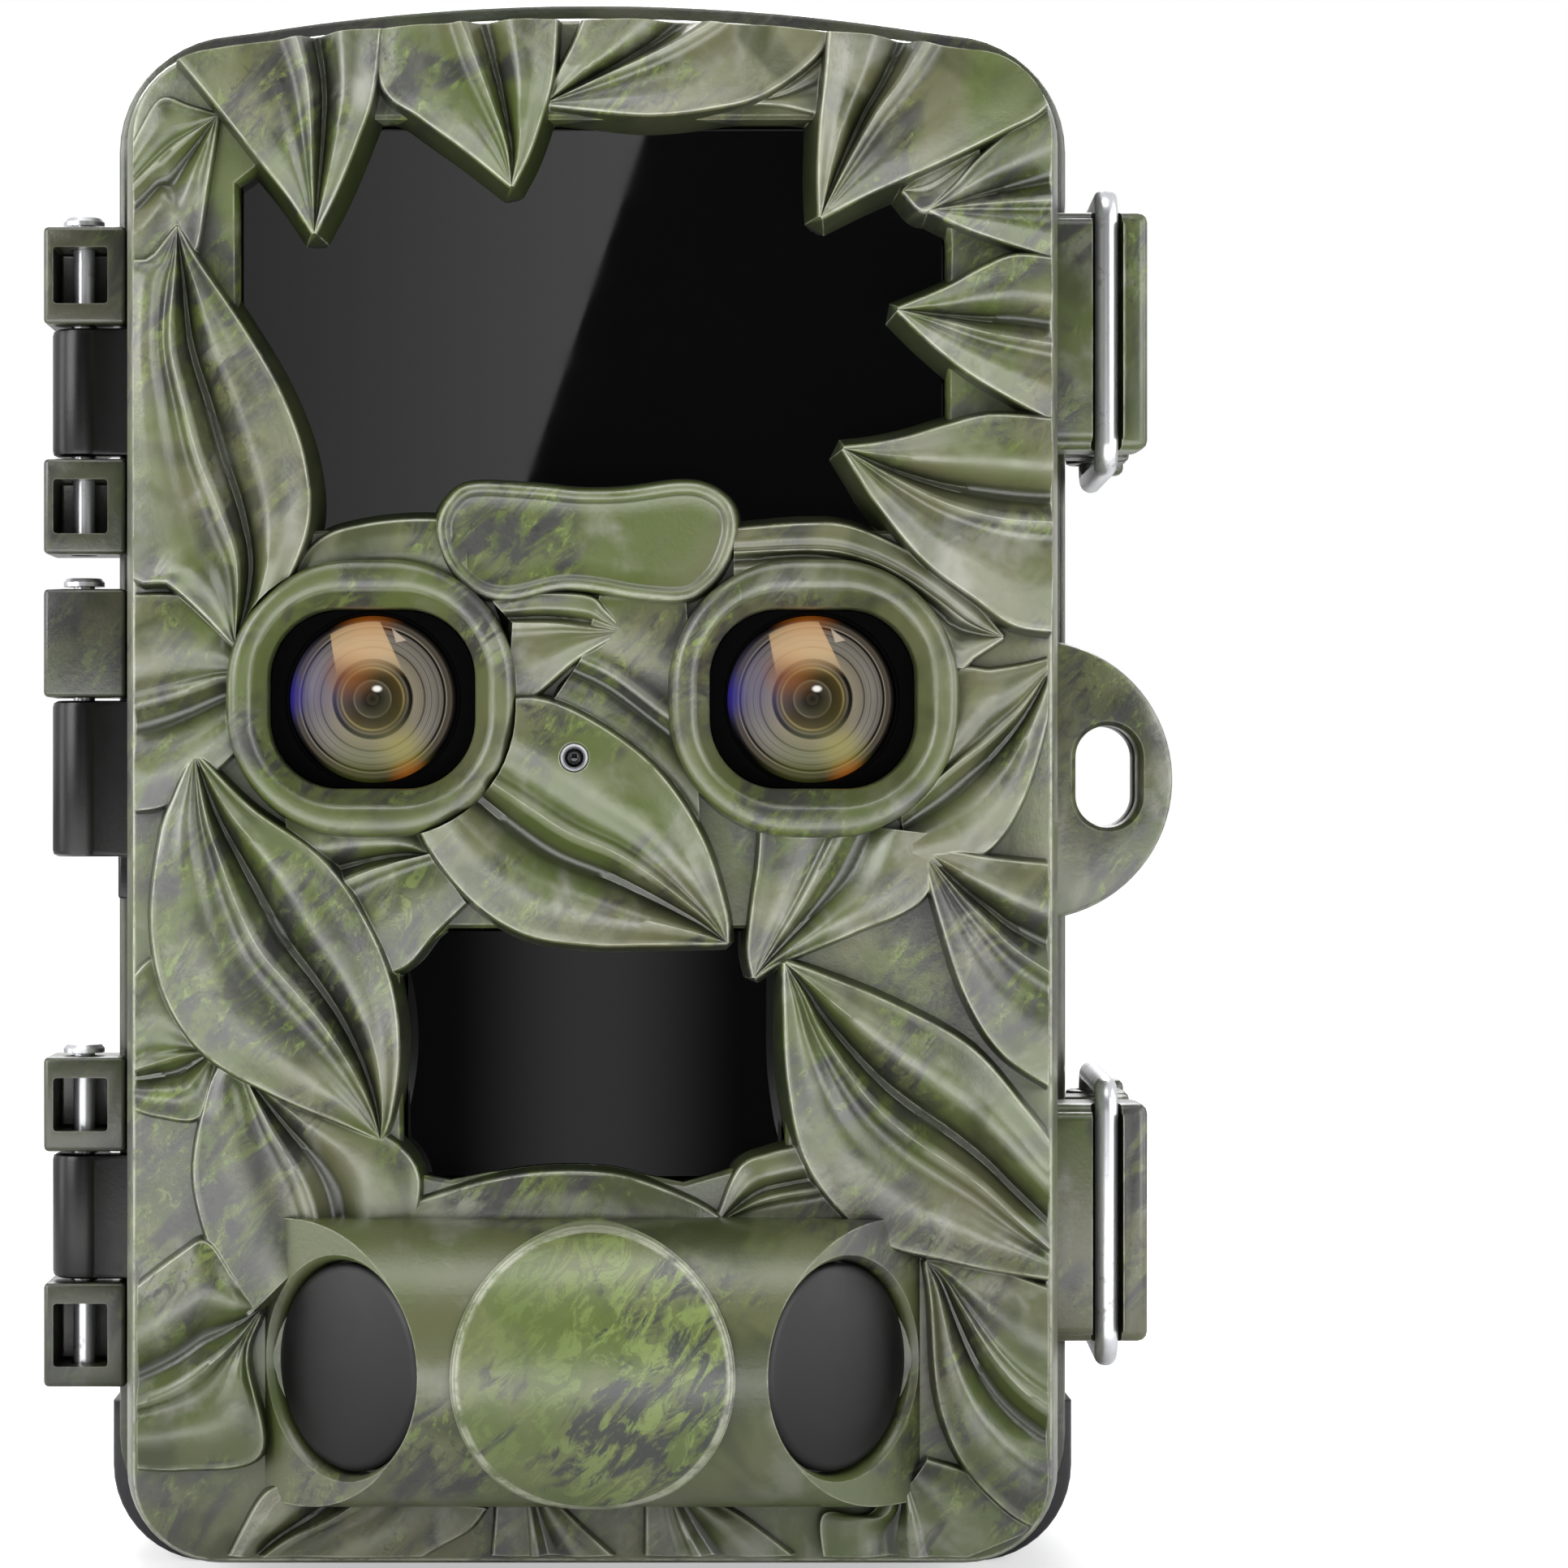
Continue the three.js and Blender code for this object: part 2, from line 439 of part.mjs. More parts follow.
function doorFrame() {
  let made = slab(doorOutline(DOOR_INSET), FRAME_FRONT, FRAME_BACK);
  for (const { barrel: [z0, z1] } of HINGES) {
    made = made.add(uprightCylinder(TUBE_R, HINGE_X, HINGE_Y, z0, z1, 20));
    made = made.add(box(HINGE_X, -40, FRAME_FRONT, FRAME_BACK, z0, z1));
  }
  made = made.add(box(-43.8, -40, FRAME_FRONT, FRAME_BACK, 61.9, 66));
  for (const { barrel: [z0, z1] } of HINGES)
    made = made.subtract(uprightCylinder(PIN_HOLE_R, HINGE_X, HINGE_Y, z0 - 1, z1 + 1, 16));
  made = made.subtract(slab(roundedRect(SCREEN), FRAME_FRONT - 1, FRAME_BACK + 1, 3));
  for (const { x, z, r } of BUTTONS) made = made.subtract(depthCylinder(r + 0.3, x, z, FRAME_FRONT - 1, FRAME_BACK + 1, 20));
  made = made.subtract(box(SWITCH.x - 1.8, SWITCH.x + 7.8, FRAME_FRONT - 1, FRAME_BACK + 1, SWITCH.z - 1.8, SWITCH.z + 1.8));
  made = made.subtract(box(16, 32, FRAME_FRONT - 1, FRAME_BACK + 1, 9, 39));
  made = made.subtract(box(-32, -18, FRAME_FRONT - 1, FRAME_BACK + 1, 20, 32));
  for (const [x, z] of SCREWS) made = made.subtract(depthCylinder(1.6, x, z, FRAME_FRONT - 1, FRAME_BACK + 1, 12));
  return made;
}

function screw(x, z) {
  const head = depthCylinder(2.4, x, z, FRAME_BACK + 0.05, FRAME_BACK + 1.2, 14);
  const shank = depthCylinder(1.3, x, z, -9, FRAME_BACK + 0.5, 10);
  return head.add(shank)
    .subtract(box(x - 1.5, x + 1.5, FRAME_BACK + 0.8, 3, z - 0.3, z + 0.3))
    .subtract(box(x - 0.3, x + 0.3, FRAME_BACK + 0.8, 3, z - 1.5, z + 1.5));
}

function lampBoard() {
  let made = box(-30, 30, -15.4, -14.2, 96, 130);
  for (let row = 0; row < 4; row += 1)
    for (let column = 0; column < 8; column += 1)
      made = made.add(depthCylinder(1.5, -26.2 + column * 7.5, 101 + row * 8.2, -16.4, -15.3, 6));
  return made;
}

function lensBarrel(side) {
  const x = side * LENS_X;
  return slab(centredRect(x, LENS_Z, { halfWidth: 8.7, halfHeight: 7.55, corner: 5.8 }), -20.4, -16, 4)
    .add(depthCylinder(7.0, x, LENS_Z, -16.1, BOARD_FRONT - GAP, 20))
    .subtract(depthCylinder(LENS_R - 0.6, x, LENS_Z, -21, LENS_SEAT, 28));
}

// The front element: a shallow dome seated in the barrel's mouth.
function lensGlass(side) {
  const r = LENS_R - 0.9;
  const profile = [new THREE.Vector2(0, 0), new THREE.Vector2(r, 0), new THREE.Vector2(r, 0.8)];
  for (let i = 1; i <= 4; i += 1) {
    const a = (i / 4) * (Math.PI / 2);
    profile.push(new THREE.Vector2(r * Math.cos(a), 0.8 + 1.9 * Math.sin(a)));
  }
  profile[profile.length - 1].x = 0;
  return solid(new THREE.LatheGeometry(profile, 28).rotateX(Math.PI).translate(side * LENS_X, LENS_SEAT - GAP, LENS_Z));
}

function pirWindow() {
  // A dome curved about an upright axis, behind the plate's opening.
  const { x0, x1, z0, z1 } = PIR_WINDOW;
  const middle = (x0 + x1) / 2;
  const half = (x1 - x0) / 2 - GAP;
  const bulge = 2.5;
  const radius = (half * half + bulge * bulge) / (2 * bulge);
  const rim = -19.2;
  return uprightCylinder(radius, middle, rim + radius - bulge, z0 + GAP, z1 - GAP, 72)
    .intersect(box(middle - half, middle + half, rim - bulge - 1, rim + 1.6, z0, z1));
}

function catchWire(z) {
  const outer = BAIL_HALF;
  const bar = uprightCylinder(WIRE_R, BAR_X, BAR_Y, z - outer, z + outer, 10);
  const rear = uprightCylinder(WIRE_R, BAIL_PIVOT_X, BAIL_PIVOT_Y, z - outer, z + outer, 10);
  const length = Math.hypot(BAIL_PIVOT_X - BAR_X, BAIL_PIVOT_Y - BAR_Y);
  const lean = Math.atan2(BAIL_PIVOT_X - BAR_X, BAIL_PIVOT_Y - BAR_Y);
  let made = bar.add(rear);
  for (const side of [-1, 1]) {
    const g = new THREE.CylinderGeometry(WIRE_R, WIRE_R, length, 10).rotateZ(-lean);
    made = made.add(solid(g.translate((BAR_X + BAIL_PIVOT_X) / 2, (BAR_Y + BAIL_PIVOT_Y) / 2, z + side * outer)));
    for (const [x, y] of [[BAR_X, BAR_Y], [BAIL_PIVOT_X, BAIL_PIVOT_Y]])
      made = made.add(solid(new THREE.SphereGeometry(WIRE_R, 10, 6).rotateX(Math.PI / 2).translate(x, y, z + side * outer)));
  }
  return made;
}

function lever(z) {
  const reach = 3.0; // clear of the bosses round the pivot
  let made = box(LEVER_OUTER - 2.6, LEVER_OUTER, PIVOT_Y + reach, LEVER_END_Y, z - LEVER_HALF, z + LEVER_HALF)
    .add(box(LEVER_OUTER - 2.6, LEVER_OUTER + 1.6, LEVER_END_Y - 2.4, LEVER_END_Y, z - LEVER_HALF, z + LEVER_HALF))
    .add(uprightCylinder(2.5, PIVOT_X, PIVOT_Y, z - 7.4, z + 7.4, 16))
    .add(box(PIVOT_X - 1.6, LEVER_OUTER, PIVOT_Y, PIVOT_Y + 5, z - 7.4, z + 7.4))
    .add(uprightCylinder(2.3, BAIL_PIVOT_X, BAIL_PIVOT_Y, z - LEVER_HALF, z + LEVER_HALF, 16))
    .add(box(BAIL_PIVOT_X, LEVER_OUTER, BAIL_PIVOT_Y - 2.3, BAIL_PIVOT_Y + 2.3, z - LEVER_HALF, z + LEVER_HALF));
  made = made.subtract(uprightCylinder(PIN_HOLE_R, PIVOT_X, PIVOT_Y, z - 20, z + 20, 16));
  return made.subtract(uprightCylinder(WIRE_R + 0.25, BAIL_PIVOT_X, BAIL_PIVOT_Y, z - 20, z + 20, 16));
}

// ---------- rear half ----------
add("rear_shell", rearShell(), "camo");
add("base_boot", boot(), "rubber");
add("case_seal", rimRing(WALL + GAP, WALL + 1.7, -0.2, 1.6), "rubber");
add("battery_tray", batteryTray(), "blackPlastic");
CELL_ROWS.forEach((z, row) => {
  for (let i = 0; i < 4; i += 1)
    add(`battery_cell_${row * 4 + i + 1}`, cell((i - 1.5) * CELL_PITCH, z, i % 2 === row), "cell");
});
add("contact_strip_lower", contactStrip(24), "steel");
add("contact_strip_upper", contactStrip(126), "steel");
for (const { name, knuckles } of HINGES) {
  const top = knuckles[0][1];
  const low = name === "middle" ? 66.4 : knuckles[knuckles.length - 1][0] + 0.4;
  add(`hinge_pin_${name}`, uprightCylinder(PIN_R, HINGE_X, HINGE_Y, low, top + GAP, 16)
    .add(uprightCylinder(PIN_HEAD_R, HINGE_X, HINGE_Y, top + GAP, top + GAP + PIN_HEAD_H, 16)), "steel");
}
add("tripod_insert", uprightCylinder(4.3, 0, 17, 0.6, 11, 20).subtract(uprightCylinder(3.1, 0, 17, -1, 9.5, 20)), "brass");
for (const { name, z } of LATCHES)
  add(`latch_pin_${name}`, uprightCylinder(PIN_R, PIVOT_X, PIVOT_Y, z - LEVER_HALF + 0.2, z + LEVER_HALF - 0.2, 16), "steel");

// ---------- door ----------
add("front_shell", frontShell(), "camo");
add("door_frame", doorFrame(), "blackPlastic");
add("lamp_window", slab(roundedRect({ x0: -32.6, x1: 32.6, z0: 93.4, z1: 132.2, corner: 3 }), -16.9, -15.9 - 0.6, 3)
  .add(slab(roundedRect({ x0: -31.0, x1: 31.0, z0: 94.8, z1: 130.6, corner: 3 }), -18.6, -16.6, 3)
    .subtract(slab(roundedRect({ ...PLAQUE, x0: PLAQUE.x0 - GAP, x1: PLAQUE.x1 + GAP, z1: PLAQUE.z1 + GAP }), -30, -10, 3))
    .subtract(slab(centredRect(-LENS_X, LENS_Z, { halfWidth: 13.4, halfHeight: 14.9, corner: 11.4 }), -30, -10, 6))
    .subtract(slab(centredRect(LENS_X, LENS_Z, { halfWidth: 13.4, halfHeight: 14.9, corner: 11.4 }), -30, -10, 6))), "gloss");
add("lamp_board", lampBoard(), "board");
add("motion_window", pirWindow(), "gloss");
add("motion_sensor_front", depthCylinder(4.6, 0, 48.5, -15, BOARD_FRONT - GAP, 16), "steel");
for (const [name, side] of [["left", -1], ["right", 1]]) {
  add(`motion_lens_${name}`, facetCylinder(side, SIDE_LENS_R, -0.7, 2.2, 28), "gloss");
  add(`motion_sensor_${name}`, facetCylinder(side, 4.6, -6, 10, 16), "steel");
  add(`lens_barrel_${name}`, lensBarrel(side), "blackPlastic");
  add(`lens_glass_${name}`, lensGlass(side), "glass");
}
add("status_lamp", depthCylinder(STATUS_R - 0.15, STATUS_X, STATUS_Z, PLATE_FRONT - 2.2, BOARD_FRONT - GAP, 12), "glass");
add("main_board", box(-33, 33, BOARD_FRONT, BOARD_BACK, 13, 128), "board");
add("screen", slab(roundedRect({ x0: -26.6, x1: 26.6, z0: 84.4, z1: 124.6, corner: 1.3 }), BOARD_BACK + GAP, -1.0, 3), "gloss");
SCREWS.forEach(([x, z], i) => add(`frame_screw_${i + 1}`, screw(x, z), "steel"));
add("card_socket", box(17.5, 30.5, BOARD_BACK + GAP, -3.8, 23, 38).subtract(box(18.3, 29.7, -5.8, -4.4, 20, 37)), "steel");
add("usb_port", box(-29.5, -20.5, BOARD_BACK + GAP, -3.0, 21.5, 29).subtract(box(-28.9, -21.1, -5.8, -3.5, 20, 28)), "steel");
add("speaker", depthCylinder(7, 25, 56, -5.4, FRAME_FRONT - GAP, 20).subtract(depthCylinder(2, 25, 56, -7, -4, 10)), "blackPlastic");

// ---------- pieces that move on the door ----------
for (const { name, x, z, r } of BUTTONS)
  add(name, depthCylinder(r, x, z, -3.6, FRAME_BACK + 0.9, 20).add(depthCylinder(r + 0.8, x, z, -4.4, -3.6 + 0.05, 20)), "rubber");
add("power_switch", box(SWITCH.x - 1.4, SWITCH.x + 1.4, -4.6, FRAME_BACK + 1.1, SWITCH.z - 1.5, SWITCH.z + 1.5), "blackPlastic");
add("memory_card", box(18.55, 29.45, -5.6, -4.6, 20.5, 35.5).subtract(box(17, 19.4, -7, -3, 32, 40)), "blackPlastic");

// ---------- latches ----------
for (const { name, z } of LATCHES) {
  add(`latch_lever_${name}`, lever(z), "camo");
  add(`latch_bail_${name}`, catchWire(z), "steel");
}

camera.position.set(-FOOT_CENTRE_X, -FOOT_CENTRE_Y, 0);
export default camera;
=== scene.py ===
import math

import bmesh
import bpy
import numpy as np
from mathutils import Matrix, Vector


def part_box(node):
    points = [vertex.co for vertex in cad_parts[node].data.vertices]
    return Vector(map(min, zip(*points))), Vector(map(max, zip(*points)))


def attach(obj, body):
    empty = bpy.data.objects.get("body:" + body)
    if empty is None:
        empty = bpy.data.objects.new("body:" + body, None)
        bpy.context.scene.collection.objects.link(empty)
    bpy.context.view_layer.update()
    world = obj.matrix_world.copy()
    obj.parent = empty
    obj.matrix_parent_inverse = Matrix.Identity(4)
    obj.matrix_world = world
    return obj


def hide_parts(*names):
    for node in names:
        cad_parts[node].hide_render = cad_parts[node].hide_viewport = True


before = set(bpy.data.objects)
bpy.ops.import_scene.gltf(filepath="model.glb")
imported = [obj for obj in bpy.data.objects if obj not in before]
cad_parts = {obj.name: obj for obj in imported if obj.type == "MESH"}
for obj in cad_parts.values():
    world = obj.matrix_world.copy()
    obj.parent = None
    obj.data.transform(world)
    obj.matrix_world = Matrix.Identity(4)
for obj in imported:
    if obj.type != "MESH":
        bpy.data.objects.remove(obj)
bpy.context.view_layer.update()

# The shapes are written in case millimetres: x = 0 is the case's centre line, y = 0 the parting plane of its
# two halves and z = 0 its underside. The lenses look along -y. ORIGIN is that point in the frame, in metres.
MM = 0.001
BOARD_BACK = -6.6
board_low, board_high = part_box("main_board")
ORIGIN = Vector(((board_low.x + board_high.x) / 2, board_high.y - BOARD_BACK * MM, 0))

# The case and the door. A _HALF is half a width, an _INSET is measured inwards from the case's outline.
CASE_HALF, CASE_TOP, CASE_BOTTOM, CASE_CORNER, TOP_SAG = 44.0, 145.0, 1.0, 11.0, 2.8
REAR_DEPTH, RAIL_BACK, BACK_ROUND, WALL, GAP = 34.0, 38.0, 4.0, 2.2, 0.3
DOOR_INSET, PLATE_INSET, DOOR_DROP, DOOR_RISE = 1.6, 3.6, 1.8, -0.4
SIDE_INSET = 2.5  # the door's visible sides, a little inside the inner cover's
FRAME_FRONT, FRAME_BACK, PLATE_INNER, PLATE_FRONT = -3.0, -0.4, -17.3, -22.4
WINDOW_FACE = -18.5
# The hinge. Each knuckle has its lower and upper end and whether it is cored from the front.
HINGE_X, HINGE_Y, TUBE_R, PIN_HOLE_R = -47.2, -0.4, 2.9, 1.25
HINGE_OUTER, KNUCKLE_FRONT, KNUCKLE_BACK = -50.6, -3.7, 4.2
KNUCKLES = [(114.9, 123.9, True), (93.7, 102.5, True), (80.5, 90.5, False), (38.6, 47.3, True),
            (16.9, 26.5, True)]
BARRELS = [(102.8, 114.6), (65.8, 80.2), (26.8, 38.3)]
# The latches and the padlock ear.
LATCHES = {"upper": 113.6, "lower": 32.7}
CATCH_X, CATCH_HALF, CATCH_FRONT, CATCH_BACK = 50.4, 10.8, -10.4, -3.6
WIRE_R, BAR_X, BAR_Y, BAIL_HALF = 1.05, 46.6, -10.3, 12.15
PIVOT_X, PIVOT_Y, SEAT_X, SEAT_Y = 48.2, 7.5, 47.9, 15.2
LEVER_OUTER, LEVER_HALF, LEVER_END = 51.2, 10.4, 31.0
PIVOT, SEAT, HINGE = (PIVOT_X, PIVOT_Y, 0), (SEAT_X, SEAT_Y, 0), (HINGE_X, HINGE_Y, 0)
EAR_X, EAR_Z, EAR_R = 40.5, 72.9, 12.9
EAR_HOLE = (47.4, 73.2, 2.9, 4.65)  # x, z, half width and half height
# What sits in the front. The windows are x0, x1, z0, z1.
LENS_X, LENS_Z, LENS_R = 19.4, 80.0, 7.4
GOGGLE = (12.7, 12.2, 11.2)  # half width, half height and corner of the bezels
LAMP_WINDOW = (-31.2, 31.3, 94.8, 131.4)
MOTION_WINDOW = (-16.6, 17.0, 37.6, 59.8)
STATUS_X, STATUS_Z = -1.6, 74.8
STATUS, TRIPOD = (STATUS_X, 0, STATUS_Z), (0, 17, 0)
NOSE_Z, NOSE_HALF_H, NOSE_HALF_W, NOSE_FRONT = 22.0, 12.5, 29.8, -36.0
FACET_SUM, SIDE_LENS_X, SIDE_LENS_R = 51.2, 21.8, 9.0
# The inside: buttons as x, z and radius, screws as x and z, the cells' rows by the height of their middle.
BUTTONS = {"ok": (0, 56, 3.4), "up": (0, 67, 3.0), "down": (0, 45, 3.0),
           "left": (-11, 56, 3.0), "right": (11, 56, 3.0), "menu": (-25, 56, 3.0)}
SCREWS = [(-35.3, 131.5), (35.3, 131.5), (-35.3, 12), (35.3, 12)]
CELL_R, CELL_LENGTH, CELL_PITCH, CELL_Y, CELL_ROWS = 7.1, 50.0, 15.6, 19.5, (47.0, 102.0)

# The moulded leaves: name, side (a or b) of the midrib where the deep groove runs, height of the edge over
# the plate, height of the bulge over the edge, and the tip; then edge a, edge b and the midrib from the tip
# to the root, in x and z. Some end with the depth where their skirt stops and whether they are rounded.
LEAF_FOOT = WINDOW_FACE + 0.1
LEAVES = [
    ("shoulder_left", "b", 0.5, 0.9, [(-33, 131.2)],
     [(-35.5, 131.9), (-37.8, 132.5), (-39.5, 130), (-41, 127)],
     [(-34, 125), (-35, 119.4), (-36.5, 121), (-38.5, 118.6), (-41, 116.4)],
     [(-35, 129.6), (-38, 127.2), (-41, 124.4)]),
    ("crown_left", "b", 1.5, 1.5, [(-24.4, 120.8)],
     [(-26.5, 124), (-29, 127.2), (-33, 132.3), (-37.4, 137.6)],
     [(-22.5, 124.6), (-20.7, 129), (-19.4, 133), (-18.5, 140.5)],
     [(-24.5, 125.5), (-24.6, 130), (-25, 134.5), (-26.5, 140)]),
    ("crown_mid", "b", 1.2, 1.4, [(-7.1, 125)],
     [(-11, 128.1), (-15, 131), (-18.3, 133.8), (-18.9, 141)],
     [(-5.7, 127.8), (-4.6, 131), (-3.6, 134.8), (-3.2, 141)],
     [(-7.6, 128.5), (-9, 132.5), (-10.3, 136), (-12.2, 141)]),
    ("crown_long", "a", 1.0, 1.3, [(-4.2, 132.2)],
     [(-2.8, 134.8), (-1.4, 137.5), (0, 141)],
     [(0, 131.7), (5, 131.3), (10, 131.8), (15, 133.1), (20, 137), (21, 141)],
     [(0, 134), (5, 136.2), (9.5, 138.6), (13, 141)]),
    ("crown_gap", "b", 0.4, 0.3, [(13, 132.4)],
     [(16, 135), (20, 140)],
     [(16.5, 132.3), (21.5, 131.4), (24, 133)],
     [(17, 133.5), (22, 137)]),
    ("crown_right", "a", 1.6, 1.5, [(20, 122.2)],
     [(19.9, 126), (20.1, 130.5), (20.6, 135), (21.1, 141)],
     [(22.5, 123.5), (25, 124.7), (30.5, 127.1), (36, 129.8), (39.5, 131.8), (42, 136)],
     [(22.2, 126.5), (24.8, 131), (27.5, 134.8), (31, 141)]),
    ("side_wedge", "b", 0.9, 0.3, [(27.3, 124.6)],
     [(30.5, 127.1), (33.8, 128.5)],
     [(29.2, 122.9), (31.5, 125), (34.2, 127.4)],
     [(30, 125.3), (34, 128)]),
    ("right_first", "a", 1.0, 1.3, [(29.6, 122.9)],
     [(32, 125), (34.5, 127.7), (41, 133)],
     [(33, 121.3), (37, 119.9), (41, 118.6)],
     [(33, 123.2), (37, 123.4), (41, 123.6)]),
    ("right_second", "a", 1.4, 1.4, [(26.8, 114.1)],
     [(31, 115.8), (34, 117.4), (37, 118.6), (41, 118.3)],
     [(29.5, 111.5), (32.5, 109), (36, 106.8), (41, 104.1)],
     [(31, 112.9), (35, 111.8), (41, 110.8)]),
    ("right_third", "a", 1.6, 1.7, [(22, 101.9)],
     [(25, 102.2), (28, 102.8), (31, 103.7), (35, 104.6), (41, 104.2)],
     [(23.5, 99.5), (25, 97.2), (29, 92.3), (33.5, 88.9), (37, 86.5), (41, 85.9)],
     [(25, 100), (28, 98.3), (31, 96.9), (34, 96), (37, 95.5), (41, 95.3)]),
    ("left_tall", "b", 1.4, 1.8, [(-36.4, 121.3)],
     [(-38.5, 118.5), (-41, 115.5), (-41, 92.8), (-37, 90.2), (-34, 87.5), (-31.3, 84.6)],
     [(-34.8, 118.4), (-31, 112.8), (-27.6, 107), (-25.4, 101), (-25.1, 95), (-28, 88.2), (-31.3, 84.6)],
     [(-36.5, 117), (-36.8, 111), (-35.6, 105.5), (-34.4, 101), (-32.6, 96.5), (-31, 91.5), (-31.3, 84.6)]),
    ("left_band", "b", 0.5, 1.2, [],
     [(-30, 83), (-33, 87.2), (-36, 88.8), (-41, 88.9)],
     [(-30, 77), (-33, 74), (-37.2, 70.9), (-41, 70.2)],
     [(-30, 82), (-32.5, 81.8), (-36, 80.7), (-41, 79.3)]),
    ("left_back", "b", 0.6, 1.1, [],
     [(-33, 49), (-36, 53), (-38.2, 57), (-41, 54.6)],
     [(-33, 49), (-34.4, 43.6), (-38, 43.5), (-41, 44.4)],
     [(-33, 49.2), (-36.5, 48.6), (-41, 47.2)]),
    ("left_low", "b", 1.6, 1.9, [(-34.9, 75.2)],
     [(-36.4, 71.5), (-37.6, 68), (-38.4, 60.5), (-37.2, 54), (-33.8, 49), (-28, 45.6), (-22, 43),
      (-18.6, 41.4)],
     [(-30, 70.3), (-24, 66), (-20.2, 60.8), (-17.8, 55), (-17.1, 49), (-17.8, 43.5), (-18.6, 41.4)],
     [(-33.8, 70), (-32.5, 66), (-31, 62), (-29, 58), (-26, 54.5), (-23.5, 51.5), (-21.2, 48),
      (-19.5, 44.5), (-18.6, 41.4)]),
    ("middle_back", "a", 0.4, 1.2, [],
     [(-13, 65.8), (-16, 68.4), (-22, 69.5), (-27, 70)],
     [(-11.2, 62.2), (-14, 59.5), (-17, 56.4), (-22, 56)],
     [(-14.2, 66.4), (-18, 65.4), (-21, 64.3), (-26, 62)]),
    ("chin_left", "b", 0.7, 1.4, [],
     [(-32.5, 48), (-33.7, 45), (-34.8, 38), (-33, 31), (-30, 26)],
     [(-32.5, 48), (-28, 46), (-22, 43), (-17.6, 41), (-15.4, 38), (-16, 33)],
     [(-31, 48), (-28.5, 43), (-26.5, 39.5), (-25.2, 36.5), (-24, 32)]),
    ("beak_band", "b", 0.9, 1.4, [(-20.2, 34.9)],
     [(-16, 35.5), (-10, 37.3), (-5, 38.2), (0, 38.3), (4, 37.6), (9, 35.6), (11.8, 33.8)],
     [(-19, 33), (-10, 31.5), (0, 31), (8, 31.5), (11.8, 33.8)],
     [(-14, 34.4), (-5, 34.6), (3, 34.4), (11.8, 33.8)], -21.9, True),
    ("chin_right", "a", 0.6, 0.9, [(11, 34)],
     [(13, 38.6), (15.5, 39.8), (18.5, 40.5)],
     [(16, 32.5), (21, 32), (25, 33)],
     [(15, 36), (20, 37)]),
    ("brow_back", "b", 0.3, 0.7, [],
     [(0.6, 88.9), (4, 88.9), (8.2, 88.7)],
     [(-4, 79), (0, 77), (6.5, 72), (9.5, 68)],
     [(-1, 83.5), (2, 82), (6, 79), (9, 77)]),
    ("beak", "b", 1.6, 1.9, [(11.8, 58.6)],
     [(11.5, 61.5), (9.4, 67.8), (5.5, 73.6), (0, 77.8), (-5.1, 79.8), (-10, 79)],
     [(5, 58.6), (0, 58.6), (-6, 59.6), (-11, 63), (-14.9, 68.6), (-14, 72)],
     [(10, 60.6), (8, 62.3), (5, 64.6), (2, 66.5), (-2, 68.2), (-5, 70.1), (-8.7, 72.6),
      (-12.4, 75)], -21.9),
    ("brow_small", "a", 0.9, 1.0, [(2.7, 85.9)],
     [(1, 87.6), (-0.5, 88.8), (-5, 89), (-8.7, 88.4)],
     [(0.5, 84.8), (-2, 83.2), (-5.1, 80.5), (-7.5, 79)],
     [(0, 86.1), (-3, 86.5), (-7, 86.6)]),
    ("brow_left", "b", 0.7, 0.9, [(-28, 87)],
     [(-24.5, 93.2), (-20, 95.1), (-13.5, 95.5), (-11, 94)],
     [(-25, 88), (-20, 91), (-14, 91), (-11, 90)],
     [(-24.6, 90.6), (-20, 93), (-13.5, 93.4), (-11, 92)], LEAF_FOOT, True),
    ("brow_arc", "b", 0.8, 1.0, [(36, 85.4)],
     [(32.5, 89.4), (28.5, 92.3), (23, 94.8), (19, 95.2), (12.4, 94.7)],
     [(33.5, 83.8), (31.8, 82.9), (28, 87), (20, 91), (12.4, 90)],
     [(33, 86.6), (30, 88.8), (27, 90.8), (24, 92.2), (20, 93), (12.4, 92.8)]),
    ("cheek_right", "b", 0.6, 1.3, [],
     [(40.6, 83.5), (38, 82.8), (35, 82.3), (31.8, 82), (30, 76), (26, 70)],
     [(40.6, 83.4), (40, 79), (37.5, 71), (34, 66.4), (28, 65)],
     [(40.4, 83), (37.5, 79), (34.5, 76.2), (31.5, 74), (27, 70)]),
    ("cheek_low", "b", 0.7, 1.1, [(14.2, 55.5)],
     [(13.8, 58), (14.2, 62), (14.7, 65.5), (15, 70)],
     [(16, 56.7), (19, 58), (23, 59.7), (28.8, 62.5), (31, 68)],
     [(16, 58.4), (18.5, 62.5), (22, 69)]),
    ("right_fourth", "a", 1.2, 1.5, [(29, 66.7)],
     [(32, 66.3), (35, 65.8), (41, 65.2)],
     [(30.5, 61), (32.8, 54), (36, 49), (41, 45.6)],
     [(32, 63), (34.5, 60.4), (37, 58), (41, 55.4)]),
    ("jaw_right", "b", 1.7, 2.0, [(16.9, 56.8)],
     [(16.9, 54), (17.3, 46), (19.2, 38.8), (24.5, 33), (31, 31.1), (35, 30.2), (41, 29.2)],
     [(20, 55.7), (26.5, 53), (33, 49.3), (37.7, 44), (41, 39.7)],
     [(18.5, 54), (20, 50.8), (22.5, 47), (25, 44), (28, 41.5), (31, 39.5), (34, 37.3), (37, 34.5),
      (41, 31)], -19.5),
    ("low_right", "a", 1.0, 1.4, [(29.3, 30.6)],
     [(29.8, 27), (30.4, 19), (32.5, 13.3), (36.5, 8.9), (40, 7)],
     [(33, 30.4), (37, 29.2), (41, 27.7)],
     [(30.8, 29.3), (32.5, 26.5), (35, 22.5), (37.5, 19.6), (41, 17)]),
